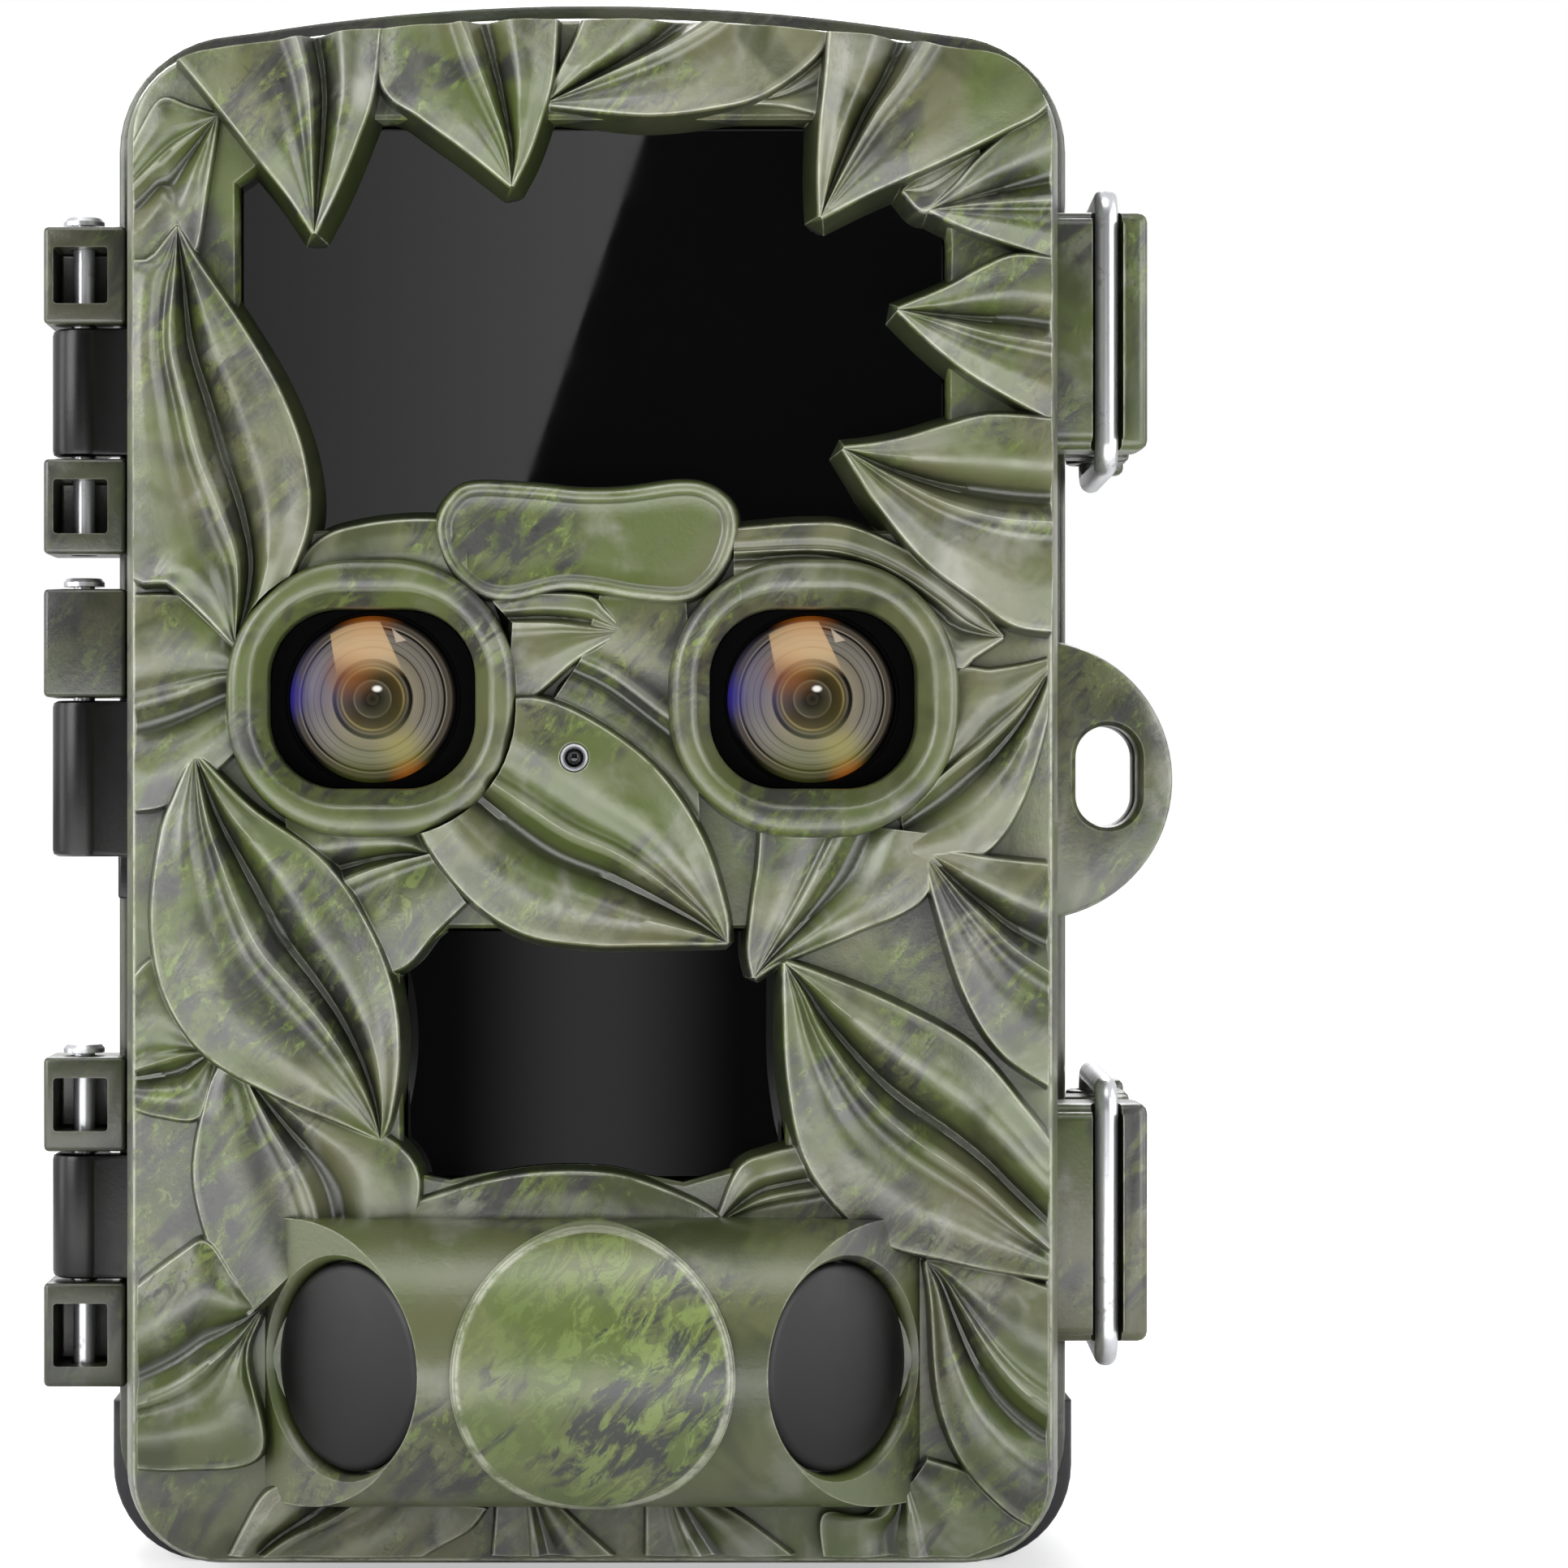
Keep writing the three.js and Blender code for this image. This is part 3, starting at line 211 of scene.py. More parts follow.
    ("corner_right", "b", 0.5, 0.9, [],
     [(29.3, 13), (33.2, 11.7), (36.5, 9.2), (38.6, 7)],
     [(26, 11), (24.2, 8.4), (20.2, 8.3), (20.5, 3)],
     [(27.5, 10.5), (28, 7), (28.5, 3)]),
    ("low_left", "a", 1.0, 1.3, [],
     [(-29.2, 26.6), (-31.5, 29), (-33.8, 32.2), (-36, 31.2), (-41, 27.4)],
     [(-29.2, 26), (-30.4, 22), (-29.2, 13.9), (-36, 12.6), (-41, 12.8)],
     [(-29.2, 26.3), (-31, 24), (-34, 21.3), (-37, 19.3), (-41, 17.8)]),
    ("corner_left", "a", 0.6, 1.0, [],
     [(-27, 11), (-28.8, 9.9), (-30.5, 7), (-32.5, 3)],
     [(-9.5, 9), (-11, 7.2), (-14, 5.5), (-18, 3)],
     [(-20, 10), (-23, 8), (-27, 6), (-31, 3)]),
    ("foot_mid", "b", 0.5, 0.8, [],
     [(-8.2, 10), (-8.4, 7), (-8.7, 3)],
     [(-4, 10), (-1, 7), (3.4, 3)],
     [(-5.6, 10), (-5.2, 6), (-5, 3)]),
    ("foot_right", "b", 0.5, 0.8, [],
     [(4.9, 10), (4.9, 7), (4.9, 3)],
     [(9, 10), (13, 8), (19.5, 3)],
     [(7, 10), (8, 7), (10, 3)]),
]


# outlines in x and z
def arc(cx, cz, radius, start, end, steps=12):
    """Points on an arc, its angles in degrees."""
    angles = np.radians(np.linspace(start, end, steps))
    return [(cx + radius * math.cos(t), cz + radius * math.sin(t)) for t in angles]


def rounded_rect(x0, x1, z0, z1, corner, steps=12):
    return (arc(x1 - corner, z0 + corner, corner, -90, 0, steps)
            + arc(x1 - corner, z1 - corner, corner, 0, 90, steps)
            + arc(x0 + corner, z1 - corner, corner, 90, 180, steps)
            + arc(x0 + corner, z0 + corner, corner, 180, 270, steps))


def centred_rect(x, z, half_w, half_h, corner, steps=16):
    return rounded_rect(x - half_w, x + half_w, z - half_h, z + half_h, corner, steps)


def case_outline(inset, drop=0.0, rise=0.0):
    """The case's outline inset all round: straight sides, round corners and an arched top."""
    corner = max(CASE_CORNER - inset, 3)
    half = CASE_HALF - inset
    bottom = CASE_BOTTOM + inset + rise
    shoulder = CASE_TOP - inset - drop - TOP_SAG
    points = arc(half - corner, bottom + corner, corner, -90, 0)
    points += arc(half - corner, shoulder - corner, corner, 0, 86)
    for t in np.linspace(0, 1, 30)[1:-1]:
        points.append(((half - corner) * (1 - 2 * t), shoulder + 4 * TOP_SAG * t * (1 - t)))
    points += arc(corner - half, shoulder - corner, corner, 94, 180)
    return points + arc(corner - half, bottom + corner, corner, 180, 270)


def door_outline(inset):
    return case_outline(inset, DOOR_DROP, DOOR_RISE)


def spline(points, count, closed=False):
    """count points spaced evenly along a Catmull-Rom curve through the given ones."""
    p = np.array(points, float)
    padded = np.vstack([p[-1:], p, p[:2]]) if closed else np.vstack([2 * p[0] - p[1], p, 2 * p[-1] - p[-2]])
    fine = []
    for i in range(len(padded) - 3):
        p0, p1, p2, p3 = padded[i:i + 4]
        for t in np.linspace(0, 1, 12, endpoint=False):
            fine.append(0.5 * (2 * p1 + (p2 - p0) * t + (2 * p0 - 5 * p1 + 4 * p2 - p3) * t ** 2
                               + (3 * p1 - p0 - 3 * p2 + p3) * t ** 3))
    fine.append(p[0] if closed else p[-1])
    fine = np.array(fine)
    length = np.concatenate([[0], np.cumsum(np.linalg.norm(np.diff(fine, axis=0), axis=1))])
    wanted = np.linspace(0, length[-1], count, endpoint=not closed)
    return np.column_stack([np.interp(wanted, length, fine[:, k]) for k in range(fine.shape[1])])


def grown(points, distance):
    """A closed anticlockwise outline moved outwards along its own normals."""
    p = np.array(points, float)
    along = np.roll(p, -1, axis=0) - np.roll(p, 1, axis=0)
    along /= np.maximum(np.linalg.norm(along, axis=1, keepdims=True), 1e-9)
    return p + distance * np.column_stack([along[:, 1], -along[:, 0]])


# solids
def placed(name, data):
    """A new object in the scene."""
    made = bpy.data.objects.new(name, data)
    bpy.context.scene.collection.objects.link(made)
    return made


def solid(verts, faces, tones=None):
    """A closed mesh from points in case millimetres. tones gives each point's value in the tone attribute."""
    mesh = bpy.data.meshes.new("solid")
    mesh.from_pydata([ORIGIN + Vector(v) * MM for v in verts], [], faces)
    tone = mesh.attributes.new("tone", "FLOAT", "CORNER")
    if tones is not None:
        tone.data.foreach_set("value", [tones[loop.vertex_index] for loop in mesh.loops])
    bm = bmesh.new()
    bm.from_mesh(mesh)
    bmesh.ops.remove_doubles(bm, verts=bm.verts, dist=2e-6)
    bmesh.ops.recalc_face_normals(bm, faces=bm.faces)
    bm.to_mesh(mesh)
    bm.free()
    return placed("solid", mesh)


def loft(rings, closed=False, tones=None):
    """A solid through rings of equal length; closed joins the last ring to the first instead of capping both.
    There is one tone for each ring or for each point."""
    n = len(rings[0])
    verts = [p for ring in rings for p in ring]
    faces = []
    for i in range(len(rings) if closed else len(rings) - 1):
        j = (i + 1) % len(rings)
        faces += [(i * n + k, i * n + (k + 1) % n, j * n + (k + 1) % n, j * n + k) for k in range(n)]
    if not closed:
        faces += [tuple(reversed(range(n))), tuple(range(len(verts) - n, len(verts)))]
    if tones and len(tones) == len(rings):
        tones = [tone for tone in tones for _ in range(n)]
    return solid(verts, faces, tones)


def at_y(outline, y):
    return [(x, y, z) for x, z in outline]


def slab(outline, y0, y1):
    """An outline pulled along the depth."""
    return loft([at_y(outline, y0), at_y(outline, y1)])


def soft_slab(outline, y0, y1, soft=0.4):
    """A slab whose two rims are rounded."""
    steps = [(0.0, 1.0), (0.29, 0.29), (1.0, 0.0)]
    rings = [at_y(grown(outline, -soft * u), y0 + soft * v) for v, u in steps]
    rings += [at_y(grown(outline, -soft * u), y1 - soft * v) for v, u in reversed(steps)]
    return loft(rings)


def block(x0, x1, y0, y1, z0, z1, soft=0.0):
    """A box, its edges rounded by soft."""
    corners = [(x0, y0), (x1, y0), (x1, y1), (x0, y1)]
    made = loft([[(x, y, z) for x, y in corners] for z in (z0, z1)])
    if soft:
        bm = bmesh.new()
        bm.from_mesh(made.data)
        bmesh.ops.bevel(bm, geom=bm.edges[:], offset=soft * MM, segments=3, profile=0.5, affect="EDGES")
        bm.to_mesh(made.data)
        bm.free()
    return made


AXES = {
    "z": lambda u, v, h: Vector((u, v, h)),
    "y": lambda u, v, h: Vector((u, h, v)),
    "left": lambda u, v, h: Matrix.Rotation(math.radians(-135), 3, "Z") @ Vector((h, u, v)),
    "right": lambda u, v, h: Matrix.Rotation(math.radians(-45), 3, "Z") @ Vector((h, u, v)),
}


def turned(profile, axis, centre, steps=48):
    """A solid of revolution. The profile lists radius and height along the axis; open ends are capped."""
    angles = np.linspace(0, 2 * math.pi, steps, endpoint=False)
    place = AXES[axis]
    rings = []
    for r, h in profile:
        rings.append([Vector(centre) + place(r * math.cos(t), r * math.sin(t), h) for t in angles])
    return loft(rings)


def rod(r, axis, centre, h0, h1, steps=48, soft=0.0):
    """A round bar, its two rims rounded by soft."""
    ends = [(r, h0), (r, h1)]
    if soft:
        ends = [(r - soft, h0), (r - 0.29 * soft, h0 + 0.29 * soft), (r, h0 + soft),
                (r, h1 - soft), (r - 0.29 * soft, h1 - 0.29 * soft), (r - soft, h1)]
    return turned(ends, axis, centre, steps)


def combine(base, operation, tools):
    """The base mesh joined with, cut or kept inside the tools, which are used up."""
    for tool in tools:
        change = base.modifiers.new("combine", "BOOLEAN")
        change.solver = "MANIFOLD"
        change.operation = operation
        change.object = tool
    view = bpy.context.evaluated_depsgraph_get()
    mesh = bpy.data.meshes.new_from_object(base.evaluated_get(view))
    base.modifiers.clear()
    base.data = mesh
    for tool in tools:
        bpy.data.objects.remove(tool)
    return base


def join(base, *tools):
    return combine(base, "UNION", tools)


def cut(base, *tools):
    return combine(base, "DIFFERENCE", tools)


def keep(base, *tools):
    return combine(base, "INTERSECT", tools)


def piece(made, name, body, look, *replaced, sharp=38):
    """Names a finished mesh, gives it a look, hangs it on its body and hides the CAD nodes it stands for."""
    material, slot = LOOKS[look]
    made.name = name
    made.data.name = name
    made.data.materials.clear()
    made.data.materials.append(material)
    made.data.shade_smooth()
    made.data.set_sharp_from_angle(angle=math.radians(sharp))
    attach(made, body)
    if replaced:
        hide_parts(*replaced)
    return made


# materials
def srgb(code):
    """A hex colour as linear RGBA."""
    parts = [int(code[i:i + 2], 16) / 255 for i in (0, 2, 4)]
    return (*[p / 12.92 if p <= 0.04045 else ((p + 0.055) / 1.055) ** 2.4 for p in parts], 1.0)


class Shader:
    """A material's or the world's node tree, with short calls for the nodes used here."""

    def __init__(self, name, owner=None):
        self.material = owner or bpy.data.materials.new(name)
        self.material.use_nodes = True
        self.tree = self.material.node_tree
        self.tree.nodes.clear()
        place = self.add("ShaderNodeTexCoord").outputs["Object"]
        self.mm = self.add("ShaderNodeVectorMath", {0: place, 1: (1000, 1000, 1000)},
                           operation="MULTIPLY").outputs[0]

    def add(self, kind, sockets=None, **settings):
        made = self.tree.nodes.new(kind)
        for key, value in settings.items():
            setattr(made, key, value)
        for key, value in (sockets or {}).items():
            if isinstance(value, bpy.types.NodeSocket):
                self.tree.links.new(value, made.inputs[key])
            else:
                made.inputs[key].default_value = value
        return made

    def math(self, operation, a, b=0.0, c=0.0):
        return self.add("ShaderNodeMath", {0: a, 1: b, 2: c}, operation=operation).outputs[0]

    def times(self, a, b):
        return self.math("MULTIPLY", a, b)

    def plus(self, a, b):
        return self.math("ADD", a, b)

    def minus(self, a, b):
        return self.math("SUBTRACT", a, b)

    def mix(self, factor, a, b, blend="MIX"):
        return self.add("ShaderNodeMix", {0: factor, 6: a, 7: b}, data_type="RGBA",
                        blend_type=blend).outputs[2]

    def far(self, x, z):
        return self.math("SQRT", self.plus(self.times(x, x), self.times(z, z)))

    def dimmed(self, colour, level):
        return self.mix(1.0, colour, (level, level, level, 1), "MULTIPLY")

    def paint(self, colour, code, where, amount=1.0):
        """The colour with another over it: all of it where the mask is 1, or the amount given."""
        return self.mix(where if amount == 1.0 else self.times(where, amount), colour, srgb(code))

    def scaled(self, factors, turn=0.0):
        """The place in millimetres for a texture squeezed by the factors and turned about the depth axis."""
        sockets = {"Vector": self.mm, "Rotation": (0, math.radians(turn), 0),
                   "Scale": [1 / f for f in factors]}
        return self.add("ShaderNodeMapping", sockets, vector_type="TEXTURE").outputs[0]

    def noise(self, size, detail=3.0, rough=0.55, bend=0.0, vector=None):
        """Noise whose features are about size millimetres across."""
        sockets = {"Vector": vector or self.mm, "Scale": 1 / size, "Detail": detail, "Roughness": rough,
                   "Distortion": bend}
        return self.add("ShaderNodeTexNoise", sockets).outputs[0]

    def between(self, value, low, high):
        """0 below low, 1 above high, smooth in between; low over high turns it round."""
        return self.add("ShaderNodeMapRange", {0: value, 1: low, 2: high},
                        interpolation_type="SMOOTHSTEP").outputs[0]

    def tone(self):
        return self.add("ShaderNodeAttribute", attribute_name="tone").outputs["Fac"]

    def worn(self, radius):
        """1 on sharp edges, where a normal rounded over radius millimetres departs from the true one."""
        soft = self.add("ShaderNodeBevel", {"Radius": radius * MM}, samples=4).outputs[0]
        true = self.add("ShaderNodeNewGeometry").outputs["Normal"]
        same = self.add("ShaderNodeVectorMath", {0: soft, 1: true}, operation="DOT_PRODUCT").outputs["Value"]
        return self.between(same, 0.985, 0.86)

    def crevice(self, reach, samples=6):
        """1 in the open, falling to 0 in crevices narrower than reach millimetres."""
        return self.add("ShaderNodeAmbientOcclusion", {"Distance": reach * MM}, samples=samples).outputs["AO"]

    def bump(self, height, strength, depth):
        return self.add("ShaderNodeBump", {"Height": height, "Strength": strength,
                                           "Distance": depth * MM}).outputs[0]

    def finish(self, colour, roughness, normal=None, **extra):
        sockets = {"Base Color": colour, "Roughness": roughness, **extra}
        if normal:
            sockets["Normal"] = normal
        surface = self.add("ShaderNodeBsdfPrincipled", sockets)
        out = self.add("ShaderNodeOutputMaterial")
        self.tree.links.new(surface.outputs[0], out.inputs[0])
        return self.material


def relief(s, colour, painted_shade_level=1.0):
    """Finishes a print on satin plastic: painted shade in the relief's grooves, skirts and crevices, painted
    highlights on its bulges and rims, worn edges, an overall painted shade level and grain.
    """
    tone = s.tone()
    # Painted shade where the tone is below 0: down the grooves and the skirts.
    colour = s.paint(colour, "191e0c", s.between(tone, 0.0, -1.0), 0.88)
    # A patchy painted highlight where the tone is above 0: on the bulges, ridges and rims.
    painted_crest_highlight = s.times(s.between(tone, 0.05, 0.5), s.between(s.noise(6, 4, 0.6, 0.5), 0.34, 0.6))
    colour = s.paint(colour, "8a8d7c", painted_crest_highlight, 0.32)
    # Pale edges: a painted highlight on the rims where the tone is high, and wear on sharp edges.
    high = s.math("MAXIMUM", s.between(tone, 0.5, 0.85), s.worn(0.25))
    pale_edges = s.times(high, s.between(s.noise(2.2, 4, 0.7), 0.3, 0.6))
    colour = s.paint(colour, "a6a895", pale_edges, 0.7)
    # Painted shade in crevices, from how closed in each point is.
    depth = s.between(s.crevice(4.0), 0.05, 0.9)
    colour = s.paint(colour, "0f1207", s.minus(0.8, s.times(depth, 0.8)))
    # Painted shade over the whole piece where its level is below 1.
    colour = s.dimmed(colour, painted_shade_level)
    height = s.plus(s.noise(0.45, 4, 0.7), s.times(s.noise(3.5, 3, 0.6), 1.2))
    rough = s.plus(0.22, s.times(s.noise(5, 4, 0.65), 0.22))
    return s.finish(colour, rough, s.bump(height, 0.5, 0.05), **{"Specular IOR Level": 0.75})


def camo(name, painted_shade_level=1.0, lush=0.0):
    """Printed camouflage: olive and green patches, grey drifts, dark slanting smudges and fine mottling."""
    s = Shader(name)
    flat = s.scaled((1, 0.35, 1))
    slant = s.scaled((1, 0.35, 1), 40)
    across_slant = s.scaled((1, 0.35, 1), 115)
    colour = s.mix(s.between(s.noise(20, 2, 0.5, 0.6, flat), 0.42, 0.6), srgb("515238"), srgb("434e23"))
    colour = s.paint(colour, "6f7064", s.between(s.noise(9, 4, 0.6, 0.4, flat), 0.52, 0.7))
    colour = s.paint(colour, "4a532a", lush)
    deep = s.times(s.between(s.noise(12, 3, 0.5, 0.8, slant), 0.52, 0.66), 0.8)
    colour = s.paint(colour, "2c3217", deep)
    gathered = s.between(s.noise(14, 3, 0.5, 0.9, across_slant), 0.44, 0.58)
    mottled = s.between(s.noise(1.5, 5, 0.75, 1.2, s.scaled((1, 0.35, 0.6), 30)), 0.52, 0.62)
    colour = s.paint(colour, "66753a", s.times(mottled, gathered), 0.7)
    streaks = s.noise(1, 5, 0.68, 0.9, s.scaled((0.42, 0.12, 0.13), 42))
    smudge = s.times(gathered, s.between(streaks, 0.42, 0.58))
    colour = s.paint(colour, "29282a", smudge, 0.92)
    flecks = s.times(s.between(s.noise(0.8, 3, 0.7, 0.3, flat), 0.56, 0.68), gathered)
    colour = s.paint(colour, "1a1b15", flecks, 0.6)
    return relief(s, colour, painted_shade_level)


def leaf_litter(name):
    """The sensor pad's print: mottled green with dark slanting streaks, more of them towards the right."""
    s = Shader(name)
    flat = s.scaled((1, 0.35, 1))
    place = s.add("ShaderNodeSeparateXYZ", {0: s.mm}).outputs[0]
    right = s.between(s.minus(place, ORIGIN.x / MM), -8.0, 5.0)
    colour = s.mix(s.between(s.noise(9, 3, 0.5, 0.5, flat), 0.4, 0.62), srgb("4b5828"), srgb("575e39"))
    leafy = s.between(s.noise(2.6, 5, 0.72, 1.5, s.scaled((1.3, 0.35, 0.6), 40)), 0.47, 0.57)
    colour = s.paint(colour, "6f7f44", s.times(leafy, s.math("MULTIPLY_ADD", right, 0.5, 0.25)))
    clusters = s.plus(s.noise(8, 3, 0.55, 1.0, s.scaled((1, 0.35, 0.7), 60)), s.times(right, 0.17))
    streaks = s.between(s.noise(1, 6, 0.72, 0.8, s.scaled((0.62, 0.12, 0.2), 40)), 0.46, 0.57)
    dark = s.times(s.between(clusters, 0.53, 0.64), streaks)
    colour = s.paint(colour, "24262b", dark, 0.9)
    return relief(s, colour)


def moulded(name, code, pale, rough, grain=0.3, depth=0.03, spread=0.25, metal=0.0, gloss=0.5):
    """Plain moulded plastic, rubber or metal: cloudy colour, paler worn edges, fine grain."""
    s = Shader(name)
    cloud = s.between(s.noise(8, 4, 0.6, 0.3), 0.3, 0.7)
    dark = tuple(c * (1 - spread) for c in srgb(code)[:3]) + (1.0,)
    colour = s.mix(cloud, dark, srgb(code))
    pale_edges = s.times(s.worn(0.2), s.between(s.noise(1.5, 4, 0.7), 0.35, 0.65))
    colour = s.paint(colour, pale, pale_edges, 0.5)
    roughness = s.plus(rough, s.times(s.noise(1.2, 4, 0.7), 0.14))
    return s.finish(colour, roughness, s.bump(s.noise(grain, 3, 0.6), 0.3, depth),
                    **{"Metallic": metal, "Specular IOR Level": gloss})


def drawn_steel(name, code="cfd0d4", rough=0.3):
    """Bright wire with fine scratches along it and a few dull spots."""
    s = Shader(name)
    scratches = s.noise(0.5, 4, 0.6, 0.0, s.scaled((4, 4, 0.3)))
    spots = s.between(s.noise(1.4, 4, 0.7), 0.55, 0.72)
    colour = s.mix(spots, srgb(code), srgb("a4a3a2"))
    roughness = s.plus(rough, s.times(spots, 0.15))
    return s.finish(colour, roughness, s.bump(scratches, 0.12, 0.02), Metallic=0.85)


def tinted_window(name, code="0a0a0b"):
    """Infrared-passing black plastic: deep gloss with a trace of dust and faint ripples."""
    s = Shader(name)
    dust = s.between(s.noise(0.5, 4, 0.8), 0.62, 0.8)
    colour = s.mix(s.times(dust, 0.12), srgb(code), srgb("35353a"))
    roughness = s.plus(0.0, s.times(s.noise(6, 3, 0.6), 0.05))
    return s.finish(colour, roughness, s.bump(s.noise(14, 1, 0.4), 0.01, 0.02))


# The glass from its middle outwards, as radius and colour: the rings of the mounts and lenses behind it,
# painted together with the reflections in them.
LENS_RINGS_AND_REFLECTIONS = [
    (0.0, "14100a"), (0.5, "2e2a1e"), (0.6, "17140e"), (1.5, "3c382a"), (1.62, "5c5644"), (1.76, "2a2414"),
    (2.6, "3f3418"), (2.75, "7c7048"), (2.9, "3a3220"), (3.1, "5c5544"), (3.25, "14100c"), (3.5, "100d0a"),
    (3.62, "7d7563"), (4.5, "6f695b"), (4.58, "26221c"), (4.7, "6c665c"), (5.1, "757066"), (5.2, "55504a"),
    (5.3, "757066"), (5.7, "6a655c"), (5.8, "4d4842"), (5.9, "6f6a60"), (6.2, "625c54"), (6.28, "0c0a08"),
    (6.4, "14110e"), (6.5, "8b8374"), (6.62, "4a443c"), (6.95, "5c554a"), (7.05, "2c2822"), (7.3, "0a0908"),
]
# Where the coating's coloured reflections are painted on the glass, from the lens's middle: x, z, size,
# colour and strength.
COATING_REFLECTIONS = [
    (-5.5, 1.2, 5.5, "77719a", 0.5), (-8.6, 0.4, 3.4, "4238c8", 0.95), (-0.6, 8.6, 4.2, "cc7220", 0.9),
    (-2.0, 2.4, 3.2, "a5652c", 0.62), (3.4, -7.2, 2.6, "e4742c", 0.9), (2.6, -4.6, 3.2, "b0a848", 0.6),
    (-1, -6.0, 4.6, "747a3a", 0.5), (1.6, -1.6, 2.4, "3c3c12", 0.6),
]


def lens_rings_and_reflections(s, r):
    """The rings seen through the glass, painted with their reflections, with fine turned lines in the outer
    ones.
    """
    rings = s.add("ShaderNodeValToRGB", {0: s.math("DIVIDE", r, LENS_R)})
    while len(rings.color_ramp.elements) < len(LENS_RINGS_AND_REFLECTIONS):
        rings.color_ramp.elements.new(0.5)
    for element, (radius, code) in zip(rings.color_ramp.elements, LENS_RINGS_AND_REFLECTIONS):
        element.position = radius / LENS_R
        element.color = srgb(code)
    fine = s.math("MULTIPLY_ADD", s.math("SINE", s.times(r, 36.0)), 0.16, 0.94)
    lined = s.add("ShaderNodeVectorMath", {0: rings.outputs[0], "Scale": fine}, operation="SCALE").outputs[0]
    return s.mix(s.between(r, 3.2, 3.7), rings.outputs[0], lined)


def mirrored_window(s, colour, x, z, r):
    """The bright window that the coating mirrors near the top of the glass, and a small corner of it."""
    height = s.minus(z, 5.0)
    left = s.between(s.plus(x, s.times(height, 0.17)), -3.75, -3.6)
    right = s.between(s.plus(x, s.times(height, 0.47)), 1.55, 1.4)
    pane = s.times(s.times(left, right), s.times(s.between(z, 1.8, 4.6), s.between(r, 6.95, 6.8)))
    colour = s.paint(colour, "e6c08e", pane, 0.5)
    corner = s.times(s.between(s.plus(x, s.times(height, 0.3)), 2.0, 2.1),
                     s.between(s.plus(z, s.times(x, 0.85)), 7.75, 7.65))
    corner = s.times(corner, s.between(s.minus(z, s.times(x, 0.2)), 4.55, 4.65))
    return s.paint(colour, "d8c4ae", corner, 0.55)


def coated_lens(name, side):
    """The front element: painted rings under the glass with the reflections in them, the coating's painted
    reflections running from violet over orange to olive, the painted reflection of a window, a painted glint
    in the middle and a painted glow.
    """
    s = Shader(name)
    centre = (ORIGIN + Vector((side * LENS_X, 0, LENS_Z)) * MM) / MM
    away = s.add("ShaderNodeVectorMath", {0: s.mm, 1: centre}, operation="SUBTRACT").outputs[0]
    split = s.add("ShaderNodeSeparateXYZ", {0: away})
    x, z = split.outputs[0], split.outputs[2]
    r = s.far(x, z)

    def spot(cx, cz, size, flat=1.0):
        return s.between(s.far(s.minus(x, cx), s.times(s.minus(z, cz), flat)), size, 0.1 * size)

    colour = lens_rings_and_reflections(s, r)
    for cx, cz, size, code, amount in COATING_REFLECTIONS:
        coating_reflection = s.mix(0.55, s.mix(1.0, s.dimmed(colour, 1.5), srgb(code), "MULTIPLY"), srgb(code))
        colour = s.mix(s.times(spot(cx, cz, size), amount), colour, coating_reflection)
    colour = mirrored_window(s, colour, x, z, r)
    # A painted glint near the middle of the glass.
    core = s.times(spot(0.4, 0.9, 0.7, 1.5), s.between(r, 1.5, 1.4))
    colour = s.paint(colour, "dcd9d2", s.between(core, 0.1, 0.9))
    # Painted glow: the glass gives off its own painted colours, though it is no lamp.
    glow = {"Emission Color": colour, "Emission Strength": 0.44, "Specular IOR Level": 0.12}
    return s.finish(s.dimmed(colour, 0.45), 0.25, None, **glow)


def circuit_board(name):
    """Green solder mask with copper tracks and pads under it."""
    s = Shader(name)
    tracks = s.add("ShaderNodeTexBrick", {"Vector": s.scaled((1, 1, 1)), "Scale": 0.35,
                                          "Color1": srgb("1b4a2c"), "Color2": srgb("1f5533"),
                                          "Mortar": srgb("3c7a4a"), "Mortar Size": 0.03})
    cloud = s.between(s.noise(4, 3), 0.35, 0.65)
    colour = s.mix(s.times(cloud, 0.4), tracks.outputs[0], srgb("123420"))
    return s.finish(colour, s.plus(0.3, s.times(cloud, 0.2)), s.bump(tracks.outputs[1], 0.3, 0.05))


def cell_case(name):
    """A cell's shrink sleeve: teal with a copper-coloured band at its lower end and wrinkles round it."""
    s = Shader(name)
    z = s.add("ShaderNodeSeparateXYZ", {0: s.mm}).outputs[2]
    place = s.math("PINGPONG", s.minus(z, CELL_ROWS[0] - CELL_LENGTH / 2 - 1), 55.0)
    colour = s.mix(s.between(place, 34.6, 35.0), srgb("2c5a66"), srgb("a86a3c"))
    colour = s.paint(colour, "1c3a44", s.between(s.noise(3, 4), 0.4, 0.7), 0.3)
    return s.finish(colour, 0.3, s.bump(s.noise(2.0, 3, 0.6, 0.0, s.scaled((1, 1, 3))), 0.2, 0.05))


def display(name):
    """The screen: black glass in a cloudy dark blue."""
    s = Shader(name)
    glow = s.between(s.noise(30, 1), 0.3, 0.7)
    colour = s.mix(glow, srgb("0b0f14"), srgb("141b24"))
    roughness = s.plus(0.06, s.times(s.between(s.noise(7, 4, 0.7), 0.5, 0.7), 0.12))
    return s.finish(colour, roughness, s.bump(s.noise(20, 1), 0.03, 0.05))


